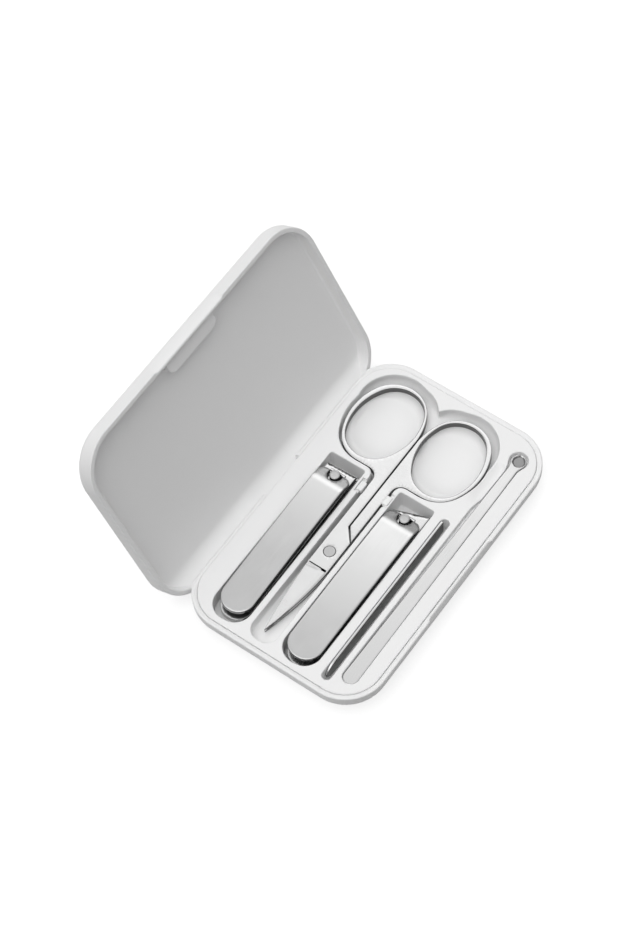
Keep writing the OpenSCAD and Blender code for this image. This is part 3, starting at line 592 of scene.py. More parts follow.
def make_base():
    """The base: one profile carried round the plan, its rim, ledge and hollow."""
    s = Skin()
    rings = []
    for inset, z in base_profile():
        p = slab_path(inset)
        p[:, 1] += notch(p, RIM - z)
        p[:, 1] = np.minimum(p[:, 1], np.maximum(back_limit(z), CASE_W / 2 - BACK_LIP))
        rings.append(raised(p, np.minimum(z, RIM - back_drop(p))))
    # the rim slopes down to the tray, and a step leads down to the ledge under the tray's plate
    ledge = PLATE_T + 0.02
    for inset, drop in [(0.8, 0), (1.2, 0.1), (RIM_W - 0.25, 0.38), (RIM_W - 0.06, 0.5), (RIM_W, 0.62),
                        (RIM_W, ledge)]:
        p = slab_path(inset)
        if drop == 0:
            p[:, 1] += notch(p, 0)
        rings.append(raised(p, RIM - drop - back_drop(p)))
    ids = s.loft(rings)
    s.fill([ids[0]])
    rough = [(-58, -34), (58, -34), (58, 34), (20, 36), (17, 35), (16.5, 32), (-16.5, 32), (-17, 35),
             (-20, 36), (-58, 34)]
    path = outline(base_hollow, rough, 560)
    foot = 3.0
    rings = [raised(path, RIM - ledge - back_drop(path)), raised(path, FLOOR_T + foot)]
    for t in np.linspace(0, math.pi / 2, 6)[1:]:
        q = shift(base_hollow, path, -foot * (1 - math.cos(t)))
        rings.append(raised(q, FLOOR_T + foot - foot * math.sin(t)))
    inner = s.loft(rings)
    s.fill([inner[-1]])
    s.fill([ids[-1], inner[0]])
    o = add_piece("base_moulding", s, "base", ["base_shell"], CASE_SKIN)
    subtract(o, hinge_slot(), "hinge_slot")


def hinge_slot():
    """The slot that the lid's hinge arm turns in, carried along X.

    Its radius is the arm's reach behind the hinge axis; in front of it the slot ends SLOT_FRONT
    from the axis, but never nearer than the arm's round.
    """
    t = np.linspace(0, 2 * math.pi, 120, endpoint=False)
    c = np.cos(t)
    reach = math.hypot(HINGE_R, HINGE_R + 0.1) + SLOT_GAP
    r = np.where(c < 0, np.minimum(reach, SLOT_FRONT / np.maximum(-c, 1e-6)), reach)
    r = np.maximum(r, HINGE_R + SLOT_GAP)
    half = BARREL_HALF + SLOT_GAP
    s = Skin()
    s.solid([np.c_[np.full(len(t), x), HINGE_Y + r * c, HINGE_Z + r * np.sin(t)] for x in (-half, half)])
    return s


def hollow_height(p, inside):
    """Height of the lid's panel over its rim: the panel, its edge radius at the walls, and the cove.

    inside is the distance from the wall.
    """
    r = 1.0
    near = np.clip(inside, 0, r)
    panel = LID_DEPTH - r + np.sqrt(np.maximum(r * r - (r - near) ** 2, 0))
    inner_y = CASE_W / 2 - LID_WALL
    u = np.clip(p[:, 1] - (inner_y - COVE_R), 0, COVE_R)
    cove = LID_DEPTH - COVE_R + np.sqrt(COVE_R ** 2 - u ** 2)
    return np.maximum(np.minimum(panel, cove), 0.0)


def open_lid(v):
    """Turns points of the closed lid open about the hinge axis."""
    c, s = math.cos(-OPEN_ANGLE), math.sin(-OPEN_ANGLE)
    y, z = v[:, 1] - HINGE_Y, v[:, 2] - HINGE_Z
    return np.c_[v[:, 0], HINGE_Y + y * c - z * s, HINGE_Z + y * s + z * c]


def hinge_arm():
    """The arm and barrel between the base's knuckles: a section of two arcs carried along X."""
    a = np.linspace(-math.pi / 2 + 0.35, 0, 14)
    b = np.linspace(0.1, 1.5 * math.pi - 0.1, 26)
    outer = np.c_[HINGE_Y + HINGE_R * np.cos(a), HINGE_Z + HINGE_R * np.sin(a)]
    barrel = np.c_[HINGE_Y + BARREL_R * np.cos(b), HINGE_Z + BARREL_R * np.sin(b)]
    inner_y, root_z = HINGE_Y + 2.25, LID_Z + 1
    inside = [(CASE_W / 2, root_z), (inner_y, root_z), (inner_y, HINGE_Z + 0.6),
              (HINGE_Y + 1.86, HINGE_Z + 0.2)]
    yz = np.vstack([outer, inside, barrel])
    s = Skin()
    s.solid([np.c_[np.full(len(yz), x), yz] for x in (-BARREL_HALF, BARREL_HALF)])
    return s


def make_lid():
    """The lid, made closed and turned open: outside, rim, hollow with its cove, and hinge arm."""
    s = Skin()
    top = LID_Z + LID_H
    turn = [(LID_EDGE_R - LID_EDGE_R * math.sin(t), top - LID_EDGE_R + LID_EDGE_R * math.cos(t))
            for t in np.linspace(0, math.pi / 2, 12)]
    rings = [raised(slab_path(inset), z) for inset, z in [(LID_EDGE_R + 4, top), *turn, (0, LID_Z + NOTCH_H)]]
    lip = 0.45
    for t in np.linspace(0, math.pi / 2, 6):
        p = slab_path(lip - lip * math.cos(t))
        up = lip - lip * math.sin(t)
        p[:, 1] += notch(p, up)
        rings.append(raised(p, LID_Z + up))
    # the rim's flat, then its inner edge, 0.3 mm up at the wall's face
    rings += [raised(slab_path(LID_WALL - short), LID_Z + up)
              for short, up in [(0.5, 0), (0.3, 0), (0.1, 0.1), (0, 0.3)]]
    at_wall = 0.001
    for inside in [at_wall, 0.05, 0.15, 0.3, 0.5, 0.75, 1.0, 1.3, 1.8, 2.4, 3.0, 3.7, 4.4, 5.2, 6.0, 6.8, 7.4,
                   9.0]:
        p = slab_path(LID_WALL + inside)
        least = 0.3 if inside == at_wall else 0.0
        rings.append(raised(p, LID_Z + np.maximum(hollow_height(p, inside), least)))
    ids = s.loft(rings)
    s.fill([ids[0]])
    s.fill([ids[-1]])
    s.take(hinge_arm())
    s.v = open_lid(s.v)
    add_piece("lid_moulding", s, "lid", ["lid_shell"], CASE_SKIN)


def make_magnet_cover():
    """The raised cover inside the lid's front wall, a plate with round inner corners."""
    wall_y = -CASE_W / 2 + LID_WALL
    buried, proud = 2, 0.02
    width = COVER_W + buried

    def whole(p):
        """The cover's bar, which starts inside the wall."""
        return bar(p, -COVER_HALF, COVER_HALF, wall_y - buried + width / 2, width, 3.0, 3.0)

    def clipped(p):
        """The bar, cut off at the wall's face."""
        return np.maximum(whole(p), wall_y + proud - p[:, 1])
    path = outline(whole, box_path(-13, 13, wall_y - buried, wall_y + 6), 240)
    path = evenly(np.c_[path[:, 0], np.maximum(path[:, 1], wall_y + proud)], 240)
    s = Skin()
    plate(s, [(path, 0.3, 0.45)], level(LID_Z + COVER_SUNK), level(LID_Z + LID_DEPTH + 0.2), clipped)
    s.v = open_lid(s.v)
    add_piece("magnet_cover", s, "lid", ["lid_magnet_cover"], CASE_SKIN)


# Tray

def finger_pocket(p):
    """The finger clipper's pocket: a bar with a round tail and nearly square corners at the jaws."""
    return bar(p, TAIL_X, HEAD_X, FINGER_Y, 15.2, POCKET_TAIL_R, POCKET_HEAD_R)


def toe_pocket(p):
    """The toe clipper's pocket, of the same shape."""
    return bar(p, TAIL_X, HEAD_X, TOE_Y, 15.1, POCKET_TAIL_R, POCKET_HEAD_R)


CLIPPER_POCKETS = {finger_pocket: FINGER_Y, toe_pocket: TOE_Y}


def file_pocket(p):
    """The file's slot: a bar with round ends."""
    return bar(p, -58.7, 17.8, FILE_Y, FILE_SLOT_W, FILE_SLOT_W / 2 - 0.01, FILE_SLOT_W / 2 - 0.01)


def pick_pocket(p):
    """Follows the ear pick: a round tail, a tapered handle that leans to -Y, and a round end."""
    q = np.c_[p[:, 0], p[:, 1] - PICK_Y + PICK_LEAN * (p[:, 0] - PICK_TAIL_X) / PICK_L]
    tail_x, tail_r, head_r = -52.5, 3.1, 3.55
    handle = patch(q, [(tail_x, -tail_r), (43, -2.3), (SPOON_X, -2.3), (SPOON_X, 2.3), (43, 2.3), (32, 2.5),
                       (26, 3.3), (tail_x, tail_r)])
    return join(np.minimum(handle, disc(q, tail_x, 0, tail_r)), disc(q, SPOON_X, 0, head_r), 2.0)


def scissors_pocket(p):
    """Channel, room for the two rings, and the hollows beside them for a finger."""
    channel = bar(p, -59.3, 25, SCISSORS_Y, 10.9, 5.0, 0.5)
    room = patch(p, box_path(20, 38, SCISSORS_Y - RING_Y, SCISSORS_Y + RING_Y))
    x, gap = PIVOT_X + RING_X, 0.85
    for s in (-1, 1):
        y = SCISSORS_Y + s * RING_Y
        room = join(room, oval(p, x, y, RING_A + gap, RING_B + gap, RING_END_R + gap), 0.3)
        room = join(room, disc(p, x + 7.05, y + s * 0.65, 14.2), 0.5)
        room = join(room, disc(p, x + 7.45, y - s * 3.95, 12.6), 0.5)
    return join(channel, room, 3.5)


# rough outlines that the pockets' own fields then draw to shape
PICK_ROUGH = [(-55, -31), (-52, -32.4), (43, -31.9), (50, -32), (52.7, -33.2), (56, -30), (55, -27.5),
              (52.7, -26.4), (50, -27.6), (43, -27.5), (32, -27.2), (26, -26.4), (-52, -26.3), (-55, -28)]
SCISSORS_ROUGH = [(-59, 6.1), (-57, 1.5), (-54, 0.65), (17, 0.65), (19.5, -1), (20, -8), (23, -17),
                  (30, -22), (39, -23), (46, -23), (55, -20), (60, -9), (58, 0), (54.5, 5), (53.4, 6.1),
                  (54.5, 7.2), (58, 12), (60, 21), (55, 32), (46, 35.2), (39, 35), (30, 34), (23, 29),
                  (20, 20), (19.5, 13), (17, 11.55), (-54, 11.55), (-57, 10.7)]


def scoop_drop(p):
    """How far the tray's top is sunk between the lower ring and the ear pick.

    A run along X that falls slowly, stays level and rises quickly, times a fade across Y.
    """
    along = smooth((p[:, 0] - 26.5) / 7) * smooth((49.0 - p[:, 0]) / 2.6)
    across = smooth((p[:, 1] + 30.5) / 2) * smooth((-21.4 - p[:, 1]) / 4.6)
    return SCOOP_D * along * across


def head_well(p):
    """Share by which the clippers' pockets are deeper in front of the jaws: a smooth step in X."""
    beside = (np.abs(p[:, 1] - FINGER_Y) < 7.8) | (np.abs(p[:, 1] - TOE_Y) < 7.8)
    return np.where(beside, smooth((p[:, 0] - 13.6) / 1.2), 0.0)


def ring_dish(p):
    """Depth of the shallow dish in the floor under each ring: 1 less a power of the radius."""
    d = np.zeros(len(p))
    for s in (-1, 1):
        r = np.hypot(p[:, 0] - PIVOT_X - RING_X, p[:, 1] - SCISSORS_Y - s * RING_Y)
        d = np.maximum(d, DISH_D * (1 - np.clip(r / 12.7, 0, 1) ** 2.8))
    return d


def scissors_foot(path):
    """Width of the foot round the scissors' pocket: a broad sweep in the finger hollows, a small
    foot elsewhere, and a smaller one at the cusp between the rings."""
    side = np.abs(path[:, 1] - SCISSORS_Y) - RING_Y
    beside = smooth((path[:, 0] - PIVOT_X - RING_X) / 9) * smooth((62 - path[:, 0]) / 6 + 0.6)
    outer = smooth((side + 2) / 8)
    foot = 0.5 + 2.6 * np.maximum(beside, outer * smooth((path[:, 0] - 24) / 10))
    cusp = np.exp(-((path[:, 1] - SCISSORS_Y) / 3.0) ** 2) * (path[:, 0] > 45)
    return foot * (1 - 0.75 * cusp)


def pocket_rings(field, path, depth, foot):
    """Rings from the tray's top down a pocket: the lip's fillet, the wall, and the foot's curve.

    The foot is the quarter oval between wall and floor, a width or one for each point of the path.
    """
    foot = np.broadcast_to(foot, (len(path),)).astype(float)
    rise = np.clip(foot * 1.35, 0.3, depth - 0.7) if field is scissors_pocket else foot
    well = WELL_D - depth if field in CLIPPER_POCKETS else 0.0
    lip, draft = 0.4, 0.12
    rings = [raised(shift(field, path, lip + 0.12), RIM)]
    for t in np.linspace(0, math.pi / 2, 6):
        rings.append(raised(shift(field, path, lip * (1 - math.sin(t))), RIM - lip * (1 - math.cos(t))))
    g = slope(field, path)
    g = g / np.linalg.norm(g, axis=1)[:, None]
    wall = path - g * draft
    rings.append(raised(wall, RIM - (depth - rise)))
    for t in np.linspace(0, math.pi / 2, 9)[1:]:
        q = wall - g * (foot * (1 - math.cos(t)))[:, None]
        rings.append(raised(q, RIM - depth + rise - rise * math.sin(t)))
    for r in rings:
        share = 1 - np.clip((RIM - r[:, 2]) / depth, 0, 1)
        r[:, 2] -= back_drop(r) + scoop_drop(r) * share + well * head_well(r) * (1 - share)
    return rings


def pocket_floor(field, depth):
    """A floor's height and the further points that it needs, or nothing where it is flat."""
    if field is scissors_pocket:
        g = grid(18, 60, -24, 36, 0.7)
        return lambda p: RIM - depth - ring_dish(p), g[field(g) < -3.7]
    if field in CLIPPER_POCKETS:
        y = CLIPPER_POCKETS[field]
        more = WELL_D - depth
        return lambda p: RIM - depth - more * head_well(p), grid(12.9, 16.8, y - 6.6, y + 6.6, 0.4)
    return None, None


def tray_top(s, pockets, mouths):
    """The plate's edge and skirt, and its top between them and the pockets; gives the skirt's foot."""
    edge, e = RIM_W + TRAY_GAP, 0.3
    rings = []
    for inset, drop in [(edge + e + 0.15, 0), (edge + e, 0), (edge + e * 0.3, e * 0.3), (edge, e),
                        (edge, PLATE_T)]:
        p = slab_path(inset)
        rings.append(raised(p, RIM - drop - back_drop(p)))
    outer = s.loft(rings)
    g = grid(-62, 62, -38, 38, 3.0)
    clear = bar(g, -61, 61, 0, 75, 14, 14)
    for field, _, _, _ in pockets:
        clear = np.maximum(clear, -field(g))
    coarse = g[clear < -1.0]
    fine = grid(25, 51, -26, -20, 0.5)
    fine = fine[np.minimum(scissors_pocket(fine), pick_pocket(fine)) > 0.8]
    extra = np.vstack([coarse[scoop_drop(coarse) < 1e-6], fine])
    s.fill([outer[0]] + mouths, lambda p: RIM - back_drop(p) - scoop_drop(p), extra)
    return outer[-1]


def tray_underside(s, pockets, skirt):
    """The pockets' outer walls, their undersides, and the plate's lower face."""
    wall, floor, tuck = 0.85, 1.0, 0.9
    holes = []
    for field, path, depth, _ in pockets:
        q, low = shift(field, path, wall), shift(field, path, wall - tuck)
        deep = depth + floor + (DISH_D + 0.1 if field is scissors_pocket else 0)
        more = WELL_D - 0.75 - depth if field in CLIPPER_POCKETS else 0.0
        ids = s.loft([raised(q, RIM - PLATE_T - back_drop(q)),
                      raised(q, RIM - deep + 1 - more * head_well(q)),
                      raised(low, RIM - deep - more * head_well(low))])
        holes.append(ids[0])
        s.fill([ids[-1]])
    s.fill([skirt] + holes)


def rounded_box(skin, low, high, e, n):
    """A box with edges of radius e: the corner (x, y) runs round a rounded rectangle, and its
    inset and height follow a quarter circle at the top and at the bottom."""
    (x0, y0, z0), (x1, y1, z1) = low, high
    t = np.linspace(0, 2 * math.pi, 8 * n, endpoint=False) + math.pi / (8 * n)
    cx = np.where(np.cos(t) > 0, x1 - e, x0 + e)
    cy = np.where(np.sin(t) > 0, y1 - e, y0 + e)
    quarter = np.linspace(0, math.pi / 2, n)
    steps = [(a, z0 + e - e * math.cos(a)) for a in quarter]
    steps += [(a, z1 - e + e * math.cos(a)) for a in quarter[::-1]]
    skin.solid([np.c_[cx + e * math.sin(a) * np.cos(t), cy + e * math.sin(a) * np.sin(t), np.full(len(t), z)]
                for a, z in steps])


def beside_shanks(near, far, half_l, low_z, high_z, e, n):
    """A rounded box on each side of the scissors' shanks, from near to far off their middle."""
    s = Skin()
    for side in (-1, 1):
        y0, y1 = sorted(SCISSORS_Y + side * v for v in (near, far))
        rounded_box(s, (SNAP_X - half_l, y0, low_z), (SNAP_X + half_l, y1, high_z), e, n)
    return s


def make_tray():
    """The tray: its top plate, and a wall, foot and floor for each pocket; the underside follows.

    Two tabs hold the scissors' shanks, each in its own recess of the wall.
    """
    s = Skin()
    pockets = []
    for field, rough, count, depth, foot in [
            (finger_pocket, box_path(-59, 17, 15, 28), 300, FINGER_DEPTH, 0.5),
            (toe_pocket, box_path(-59, 17, -16, -2), 300, TOE_DEPTH, 0.5),
            (file_pocket, box_path(-58, 17, -23, -21), 260, FILE_DEPTH, 0.5),
            (pick_pocket, PICK_ROUGH, 420, PICK_DEPTH, 0.4),
            (scissors_pocket, SCISSORS_ROUGH, 900, SCISSORS_DEPTH, None)]:
        path = outline(field, rough, count)
        pockets.append((field, path, depth, scissors_foot(path) if foot is None else foot))
    mouths = []
    for field, path, depth, foot in pockets:
        ids = s.loft(pocket_rings(field, path, depth, foot))
        mouths.append(ids[0])
        s.fill([ids[-1]], *pocket_floor(field, depth))
    skirt = tray_top(s, pockets, mouths)
    tray_underside(s, pockets, skirt)
    o = add_piece("tool_tray", s, "base", ["tray_insert"], TRAY_SKIN)
    subtract(o, beside_shanks(4.9, 7.05, 3.2, RIM - 1.2, RIM + 2, 0.25, 4), "snap_recess")
    tabs = beside_shanks(4.45, 6.75, 2, RIM - 2.3, RIM - 0.12, 0.35, 5)
    add_piece("scissors_snaps", tabs, "base", [], TRAY_SKIN)


# Clippers

# Sizes that both clippers share, from the post's axis, and then each clipper's own
ARM_T, LEVER_T, KNEE_X, HEAD_T, STACK, ARCH, LEVER_FRONT = 1.4, 1.6, 4.2, 1.1, 0.05, 0.45, 1.3
HOOK_R, HOOK_HALF, RIVET_IN, JAW_RUN, BEND = 0.6, 3.2, 5.2, 1.6, 1.5
CLIPPERS = {
    "finger": dict(y=FINGER_Y, z=RIM - FINGER_DEPTH, arm_l=66.2, arm_w=12.4, lever_w=13.3, lever_l=65.3,
                   tail=7.1, knee=9.7, post=8.7, slant=2.0, jaw=4.8, gap=1.3),
    "toe": dict(y=TOE_Y, z=RIM - TOE_DEPTH, arm_l=67.6, arm_w=13.2, lever_w=13.8, lever_l=66.9,
                tail=7.8, knee=8.5, post=7.3, slant=19.0, jaw=4.9, gap=0.6),
}


def bent(x, stations, radius):
    """Height along a bent strip: straight runs between (x, z) stations, bends rounded by radius.

    It is the mean of the straight runs' height over the radius to each side, with the weight
    1 - w squared at a share w of the radius.
    """
    sx, sz = np.array(stations, float).T
    w = np.linspace(-1, 1, 15)
    kernel = (1 - w ** 2)
    kernel /= kernel.sum()
    return sum(k * np.interp(x + d * radius, sx, sz) for k, d in zip(kernel, w))


def hook_height(c):
    """Height of the middle of the lever's cross bar, which hooks under the post's head."""
    return c["post"] - HEAD_T - STACK - HOOK_R


def place(s, c):
    """Moves a clipper's skin from the post's foot at the origin to its place in the tray."""
    s.v = s.v + np.array([POST_X, c["y"], c["z"]])
    return s


def make_lever(kind, c):
    """The lever: a strip with a round tail, slightly arched, bent down at the knee, with a fork
    round the post. The arch is 4 s u(1 - u) along the length from tail to knee."""
    hook_z, hook_x = hook_height(c), 1.8
    half, f = LEVER_T / 2, LEVER_FRONT
    w, l = c["lever_w"], c["lever_l"]

    def field(p):
        """The strip's plan, less the fork's mouth."""
        body = bar(p, -l, f, 0, w, w * 0.48, 2.6)
        mouth = bar(p, -2.85, 12, 0, 5.7, 2.84, 0.1)
        return cut(body, mouth, 0.6)
    rough = [(-l, 0), (-l + 2, -w / 2 + 2), (-l + 6, -w / 2), (f - 2, -w / 2), (f - 0.5, -w / 2 + 1),
             (f, -3.4), (0, -2.8), (-2, -2), (-2.8, 0), (-2, 2), (0, 2.8), (f, 3.4), (f - 0.5, w / 2 - 1),
             (f - 2, w / 2), (-l + 6, w / 2), (-l + 2, w / 2 - 2)]
    tail, knee = c["tail"] - half, c["knee"] - half
    knee_x = -KNEE_X - 0.35
    line = [(-l - 2, tail - 2 * (knee - tail) / (l - KNEE_X)), (knee_x, knee), (hook_x, hook_z),
            (hook_x + 3, hook_z - 3 * (knee - hook_z) / (KNEE_X + hook_x))]

    def mid(p):
        """Height of the strip's middle."""
        u = np.clip((p[:, 0] + l) / (l + knee_x), 0, 1)
        return bent(p[:, 0], line, 1.3) + 4 * ARCH * u * (1 - u)
    s = Skin()
    path = outline(field, rough, 640)
    plate(s, [(path, 0.34, 0.3)], lambda p: mid(p) - half, lambda p: mid(p) + half, field, 0.9)
    # the cross bar that hooks under the post's head
    t = np.linspace(0, 2 * math.pi, 24, endpoint=False)
    s.solid([np.c_[hook_x + HOOK_R * np.cos(t), np.full(len(t), y), hook_z + HOOK_R * np.sin(t)]
             for y in (-HOOK_HALF, HOOK_HALF)])
    o = add_piece(kind + "_lever", place(s, c), kind + "_lever", [kind + "_clipper_lever"],
                  LEVER_STEEL)
    # the lever's upright sides get the near-black painted shade
    paint_side_shade_and_file_face(o, without=faces_tail)


def make_arm(kind, c, upper):
    """An arm: a strip cut to its outline, with its jaw bevelled to the slanted cutting edge."""
    l, w = c["arm_l"], c["arm_w"]
    lower_z = 0.9
    upper_z = hook_height(c) - LEVER_T / 2 - 3 * STACK - ARM_T
    edge_z = (upper_z + lower_z + ARM_T) / 2 + (c["gap"] / 2 if upper else -c["gap"] / 2)
    head_z, tail_z = (upper_z, ARM_T + STACK) if upper else (lower_z, 0)
    slant = math.radians(c["slant"])
    reach = c["jaw"] * math.cos(slant)

    def ahead(p):
        """Distance ahead of the post, square to the cutting edge."""
        return p[:, 0] * math.cos(slant) + p[:, 1] * math.sin(slant)

    def solid(p):
        """The arm's plan: a bar with a round tail, cut off along the cutting edge."""
        return -join(-bar(p, -l, 20, 0, w, w * 0.46, 0.1), reach - ahead(p), 0.25)
    hole, rivet = (2.0, 1.35) if upper else (1.15, 1.2)

    def field(p):
        """The plan less the post's and the rivet's holes."""
        return np.maximum(np.maximum(solid(p), -disc(p, 0, 0, hole)), -disc(p, RIVET_IN - l, 0, rivet))
    flat = [(-l - 1, tail_z), (10 - l, tail_z), (-6, head_z), (20, head_z)]

    def face(lift, edge, run, power=1):
        """Height of a face: the bent strip, then a slope to the cutting edge over the jaw's run."""
        def height(p):
            """The bent strip's height, or the jaw's where the point is past its start."""
            share = np.clip((ahead(p) - reach + run) / run, 0, 1) ** power
            jaw = head_z + lift + (edge - head_z - lift) * share
            return np.where(ahead(p) > reach - run, jaw, bent(p[:, 0], flat, BEND) + lift)
        return height
    if upper:
        low, high = face(0, edge_z, JAW_RUN), face(ARM_T, edge_z + 0.3, JAW_RUN, 4)
    else:
        low, high = face(0, edge_z - 0.3, JAW_RUN / 2), face(ARM_T, edge_z, JAW_RUN)
    t = math.tan(slant)
    rough = [(-l, 0), (-l + 2, -w / 2 + 2), (-l + 6, -w / 2), (c["jaw"] + t * w / 2, -w / 2),
             (c["jaw"] - t * w / 2, w / 2), (-l + 6, w / 2), (-l + 2, w / 2 - 2)]
    path = outline(solid, rough, 520)
    s = Skin()
    burr = 0.13
    post_hole = around(0, 0, hole, 48)[::-1]
    rivet_hole = around(RIVET_IN - l, 0, rivet, 40)[::-1]
    edges = [(path, burr, burr), (post_hole, burr, 0.1), (rivet_hole, burr, 0.1)]
    plate(s, edges, low, high, field, 0.8, 4)
    part = "_upper_arm" if upper else "_lower_arm"
    body = kind + "_upper_arm" if upper else kind + "_clipper"
    o = add_piece(kind + part, place(s, c), body, [kind + "_clipper" + part], ARM_STEEL)
    # the arms' upright and steep faces get the near-black painted shade
    paint_side_shade_and_file_face(o, 0.8, without=faces_tail)


def make_pin(kind, c):
    """The headed post: foot, neck and head with a rounded rim round a very slightly sunk face."""
    h = c["post"]
    under, sunk = h - HEAD_T, h - 0.07
    foot = [(0.01, 0)] + rounded_profile(2.3, 0, 0.85, 0.15, 0.25)
    head = [(1.9, under), (2.02, under + 0.15), (2.02, h - 0.25), (1.94, sunk), (1.8, h), (1.66, h),
            (1.58, h - 0.06), (1.5, sunk), (0.7, sunk), (0.01, sunk)]
    s = Skin()
    turned(s, foot + [(1.1, 0.85), (1.1, under)] + head, 0, 0)
    o = add_piece(kind + "_post", place(s, c), kind + "_clipper", [kind + "_clipper_pin"],
                  PIN_STEEL)
    # the post's upright sides get the near-black painted shade
    paint_side_shade_and_file_face(o)


def make_rivet(kind, c):
    """The rear rivet: a shank through both arms and a domed head on the upper one."""
    top, head_r = 2 * ARM_T + 3 * STACK, 2.0
    shank = [(0.01, 0.02), (1.1, 0.02), (1.19, 0.12), (1.19, top), (head_r, top)]
    dome = [(head_r * math.cos(t), top + 0.12 + 0.38 * math.sin(t))
            for t in np.linspace(0, math.pi / 2 - 0.02, 9)]
    s = Skin()
    turned(s, shank + dome, RIVET_IN - c["arm_l"], 0, 64)
    add_piece(kind + "_rivet", place(s, c), kind + "_clipper", [kind + "_clipper_rear_rivet"],
              PIN_STEEL)


# Scissors, file and ear pick

# Sizes from the pivot's axis: a half's plate, the shank, the blade and the slanted joint
HALF_T, HALF_GAP, SEAT_PLAY = 1.55, 0.1, 0.1
SCISSORS_H = 2 * HALF_T + HALF_GAP
SHANK_HALF, SHOULDER_X, BLADE_L, TIP_Y = 4.3, 8.2, 38.5, 0.9
PART_NEAR, PART_FAR, PARTING, JOINT_GAP = 6.7, 12.1, 0.2, 0.4
RING_LEFT = RING_X - RING_A
SHANK_START = ((PART_NEAR + JOINT_GAP, SHANK_HALF), (PART_FAR + JOINT_GAP, PARTING))
RING_ROUGH = [(54, 0.15), (64, 2.5), (70.5, 8), (72.8, 14), (71, 20), (66, 25), (55, 28.3), (45, 27),
              (39, 21), (36.7, 14), (36.4, 10), (34.5, 5), (32, 4.3)]


def shank_field(p, start=SHANK_START):
    """A half's shank and ring, with the ring on the +Y side and the pivot at the origin.

    The union of the shank, the block between it and the ring, the fillet in their corner, and
    the ring's oval; the fillet is a square less a circle. start holds the two corners of the
    shank's near end.
    """
    shank = patch(p, [*start, (RING_X, PARTING), (RING_X, RING_Y), (RING_LEFT, RING_Y),
                      (RING_LEFT, SHANK_HALF)])
    fillet = 4
    square = patch(p, box_path(RING_LEFT - fillet, RING_LEFT + 3, 1.3, SHANK_HALF + fillet))
    corner = np.maximum(square, -disc(p, RING_LEFT - fillet, SHANK_HALF + fillet, fillet))
    ring = oval(p, RING_X, RING_Y, RING_A, RING_B, RING_END_R)
    return np.minimum(np.minimum(shank, corner), ring)


def crossing_field(p):
    """The plate round the pivot, which lies on the other half's plate."""
    return patch(p, [(-SHOULDER_X, -SHANK_HALF), (PART_NEAR, -SHANK_HALF), (PART_FAR, PARTING),
                     (PART_FAR + 1, SHANK_HALF), (-SHOULDER_X, SHANK_HALF)])


def finger_hole(p):
    """The ring's hole: an oval 0.4 mm ahead of the ring's middle and turned by 6 degrees."""
    a = math.radians(6)
    u, v = p[:, 0] - RING_X - 0.4, p[:, 1] - RING_Y
    q = np.c_[u * math.cos(a) - v * math.sin(a), u * math.sin(a) + v * math.cos(a)]
    return oval(q, 0, 0, RING_A - RING_BAND, RING_B - RING_BAND, RING_END_R - RING_BAND)


def blade(base, face):
    """A blade: its two curved edges, each y = straight line + 4 rise u(1 - u) over the length,
    joined by a face that is hollowed along the +Y edge and thins towards the tip."""
    skin = Skin()
    m, k = 70, 19
    u = np.linspace(0, 1, m)
    root = 1.2 - SHOULDER_X
    x = root - (BLADE_L + root) * u
    v = np.clip((-x - SHOULDER_X) / (BLADE_L - SHOULDER_X), 0, 1)
    edges = [np.c_[x, y0 + (TIP_Y - y0) * v + 4 * rise * v * (1 - v)]
             for y0, rise in ((0.1 - SHANK_HALF, -0.85), (SHANK_HALF - 0.1, 0.5))]
    cross = np.linspace(0, 1, k)[:, None]
    plan = edges[0][None] + (edges[1] - edges[0])[None] * cross[..., None]
    width = (edges[1] - edges[0])[:, 1] / (2 * SHANK_HALF)
    hollow = 0.45 * np.clip((cross - 0.33) / 0.67, 0, 1) * width * smooth((u - 0.02) / 0.03)
    bevel = 0.2 * (1 - smooth(cross / 0.05)) + 0.02 * (1 - smooth((1 - cross) / 0.04))
    top = base + face - hollow - bevel
    low = base + (face - 0.9) * smooth(u * 1.2) * np.ones((k, 1))
    up = [skin.ring(np.c_[plan[i], top[i]]) for i in range(k)]
    under = [skin.ring(np.c_[plan[i], low[i]]) for i in range(k)]

    def strip(a, b):
        """Quads between two open rows of vertices."""
        skin.f += np.c_[a[:-1], a[1:], b[1:], b[:-1]].tolist()
    for rows in (up, under):
        for a, b in zip(rows, rows[1:]):
            strip(a, b)
    strip(up[0], under[0])
    strip(up[-1], under[-1])
    for j in (0, m - 1):
        strip(np.array([r[j] for r in up]), np.array([r[j] for r in under]))
    return skin


def upper_plates(s, hole, low_z, high_z):
    """The upper half as one sheet: its crossing plate runs into the shank, and the underside
    steps down there, along the slanted joint."""
    seat = 2.34
    mid = HALF_T + HALF_GAP
    lean = (PART_FAR - PART_NEAR) / (SHANK_HALF - PARTING)

    def whole(p):
        """The crossing plate and the shank with its ring."""
        shank = shank_field(p, ((-SHOULDER_X, SHANK_HALF), (-SHOULDER_X, PARTING)))
        return np.minimum(shank, crossing_field(p))

    def sheet(p):
        """The whole plan less the two holes."""
        return np.maximum(np.maximum(whole(p), -finger_hole(p)), -disc(p, 0, 0, seat))

    def low(p):
        """Height of the underside, a smooth step across the joint."""
        past = p[:, 0] - PART_NEAR - JOINT_GAP - (SHANK_HALF - p[:, 1]) * lean
        return mid + (low_z - mid) * smooth(past / 0.3 + 0.5)
    path = outline(whole, [(-8.2, 4.3), (-8.2, -4.3), (6.7, -4.3), (12.1, 0.15)] + RING_ROUGH, 860)
    t = np.linspace(0.02, 0.98, 40)
    joint = np.c_[PART_NEAR + JOINT_GAP + t * (PART_FAR - PART_NEAR), SHANK_HALF - t * (SHANK_HALF - PARTING)]
    lines = np.vstack([joint + (d, 0) for d in (-0.16, 0.16)])
    edges = [(path, 0.25, 0.15), (hole, 0.36, 0.4), (around(0, 0, seat, 64)[::-1], 0.08, 0.08)]
    plate(s, edges, low, level(high_z), sheet, 1.4, 7, lines)


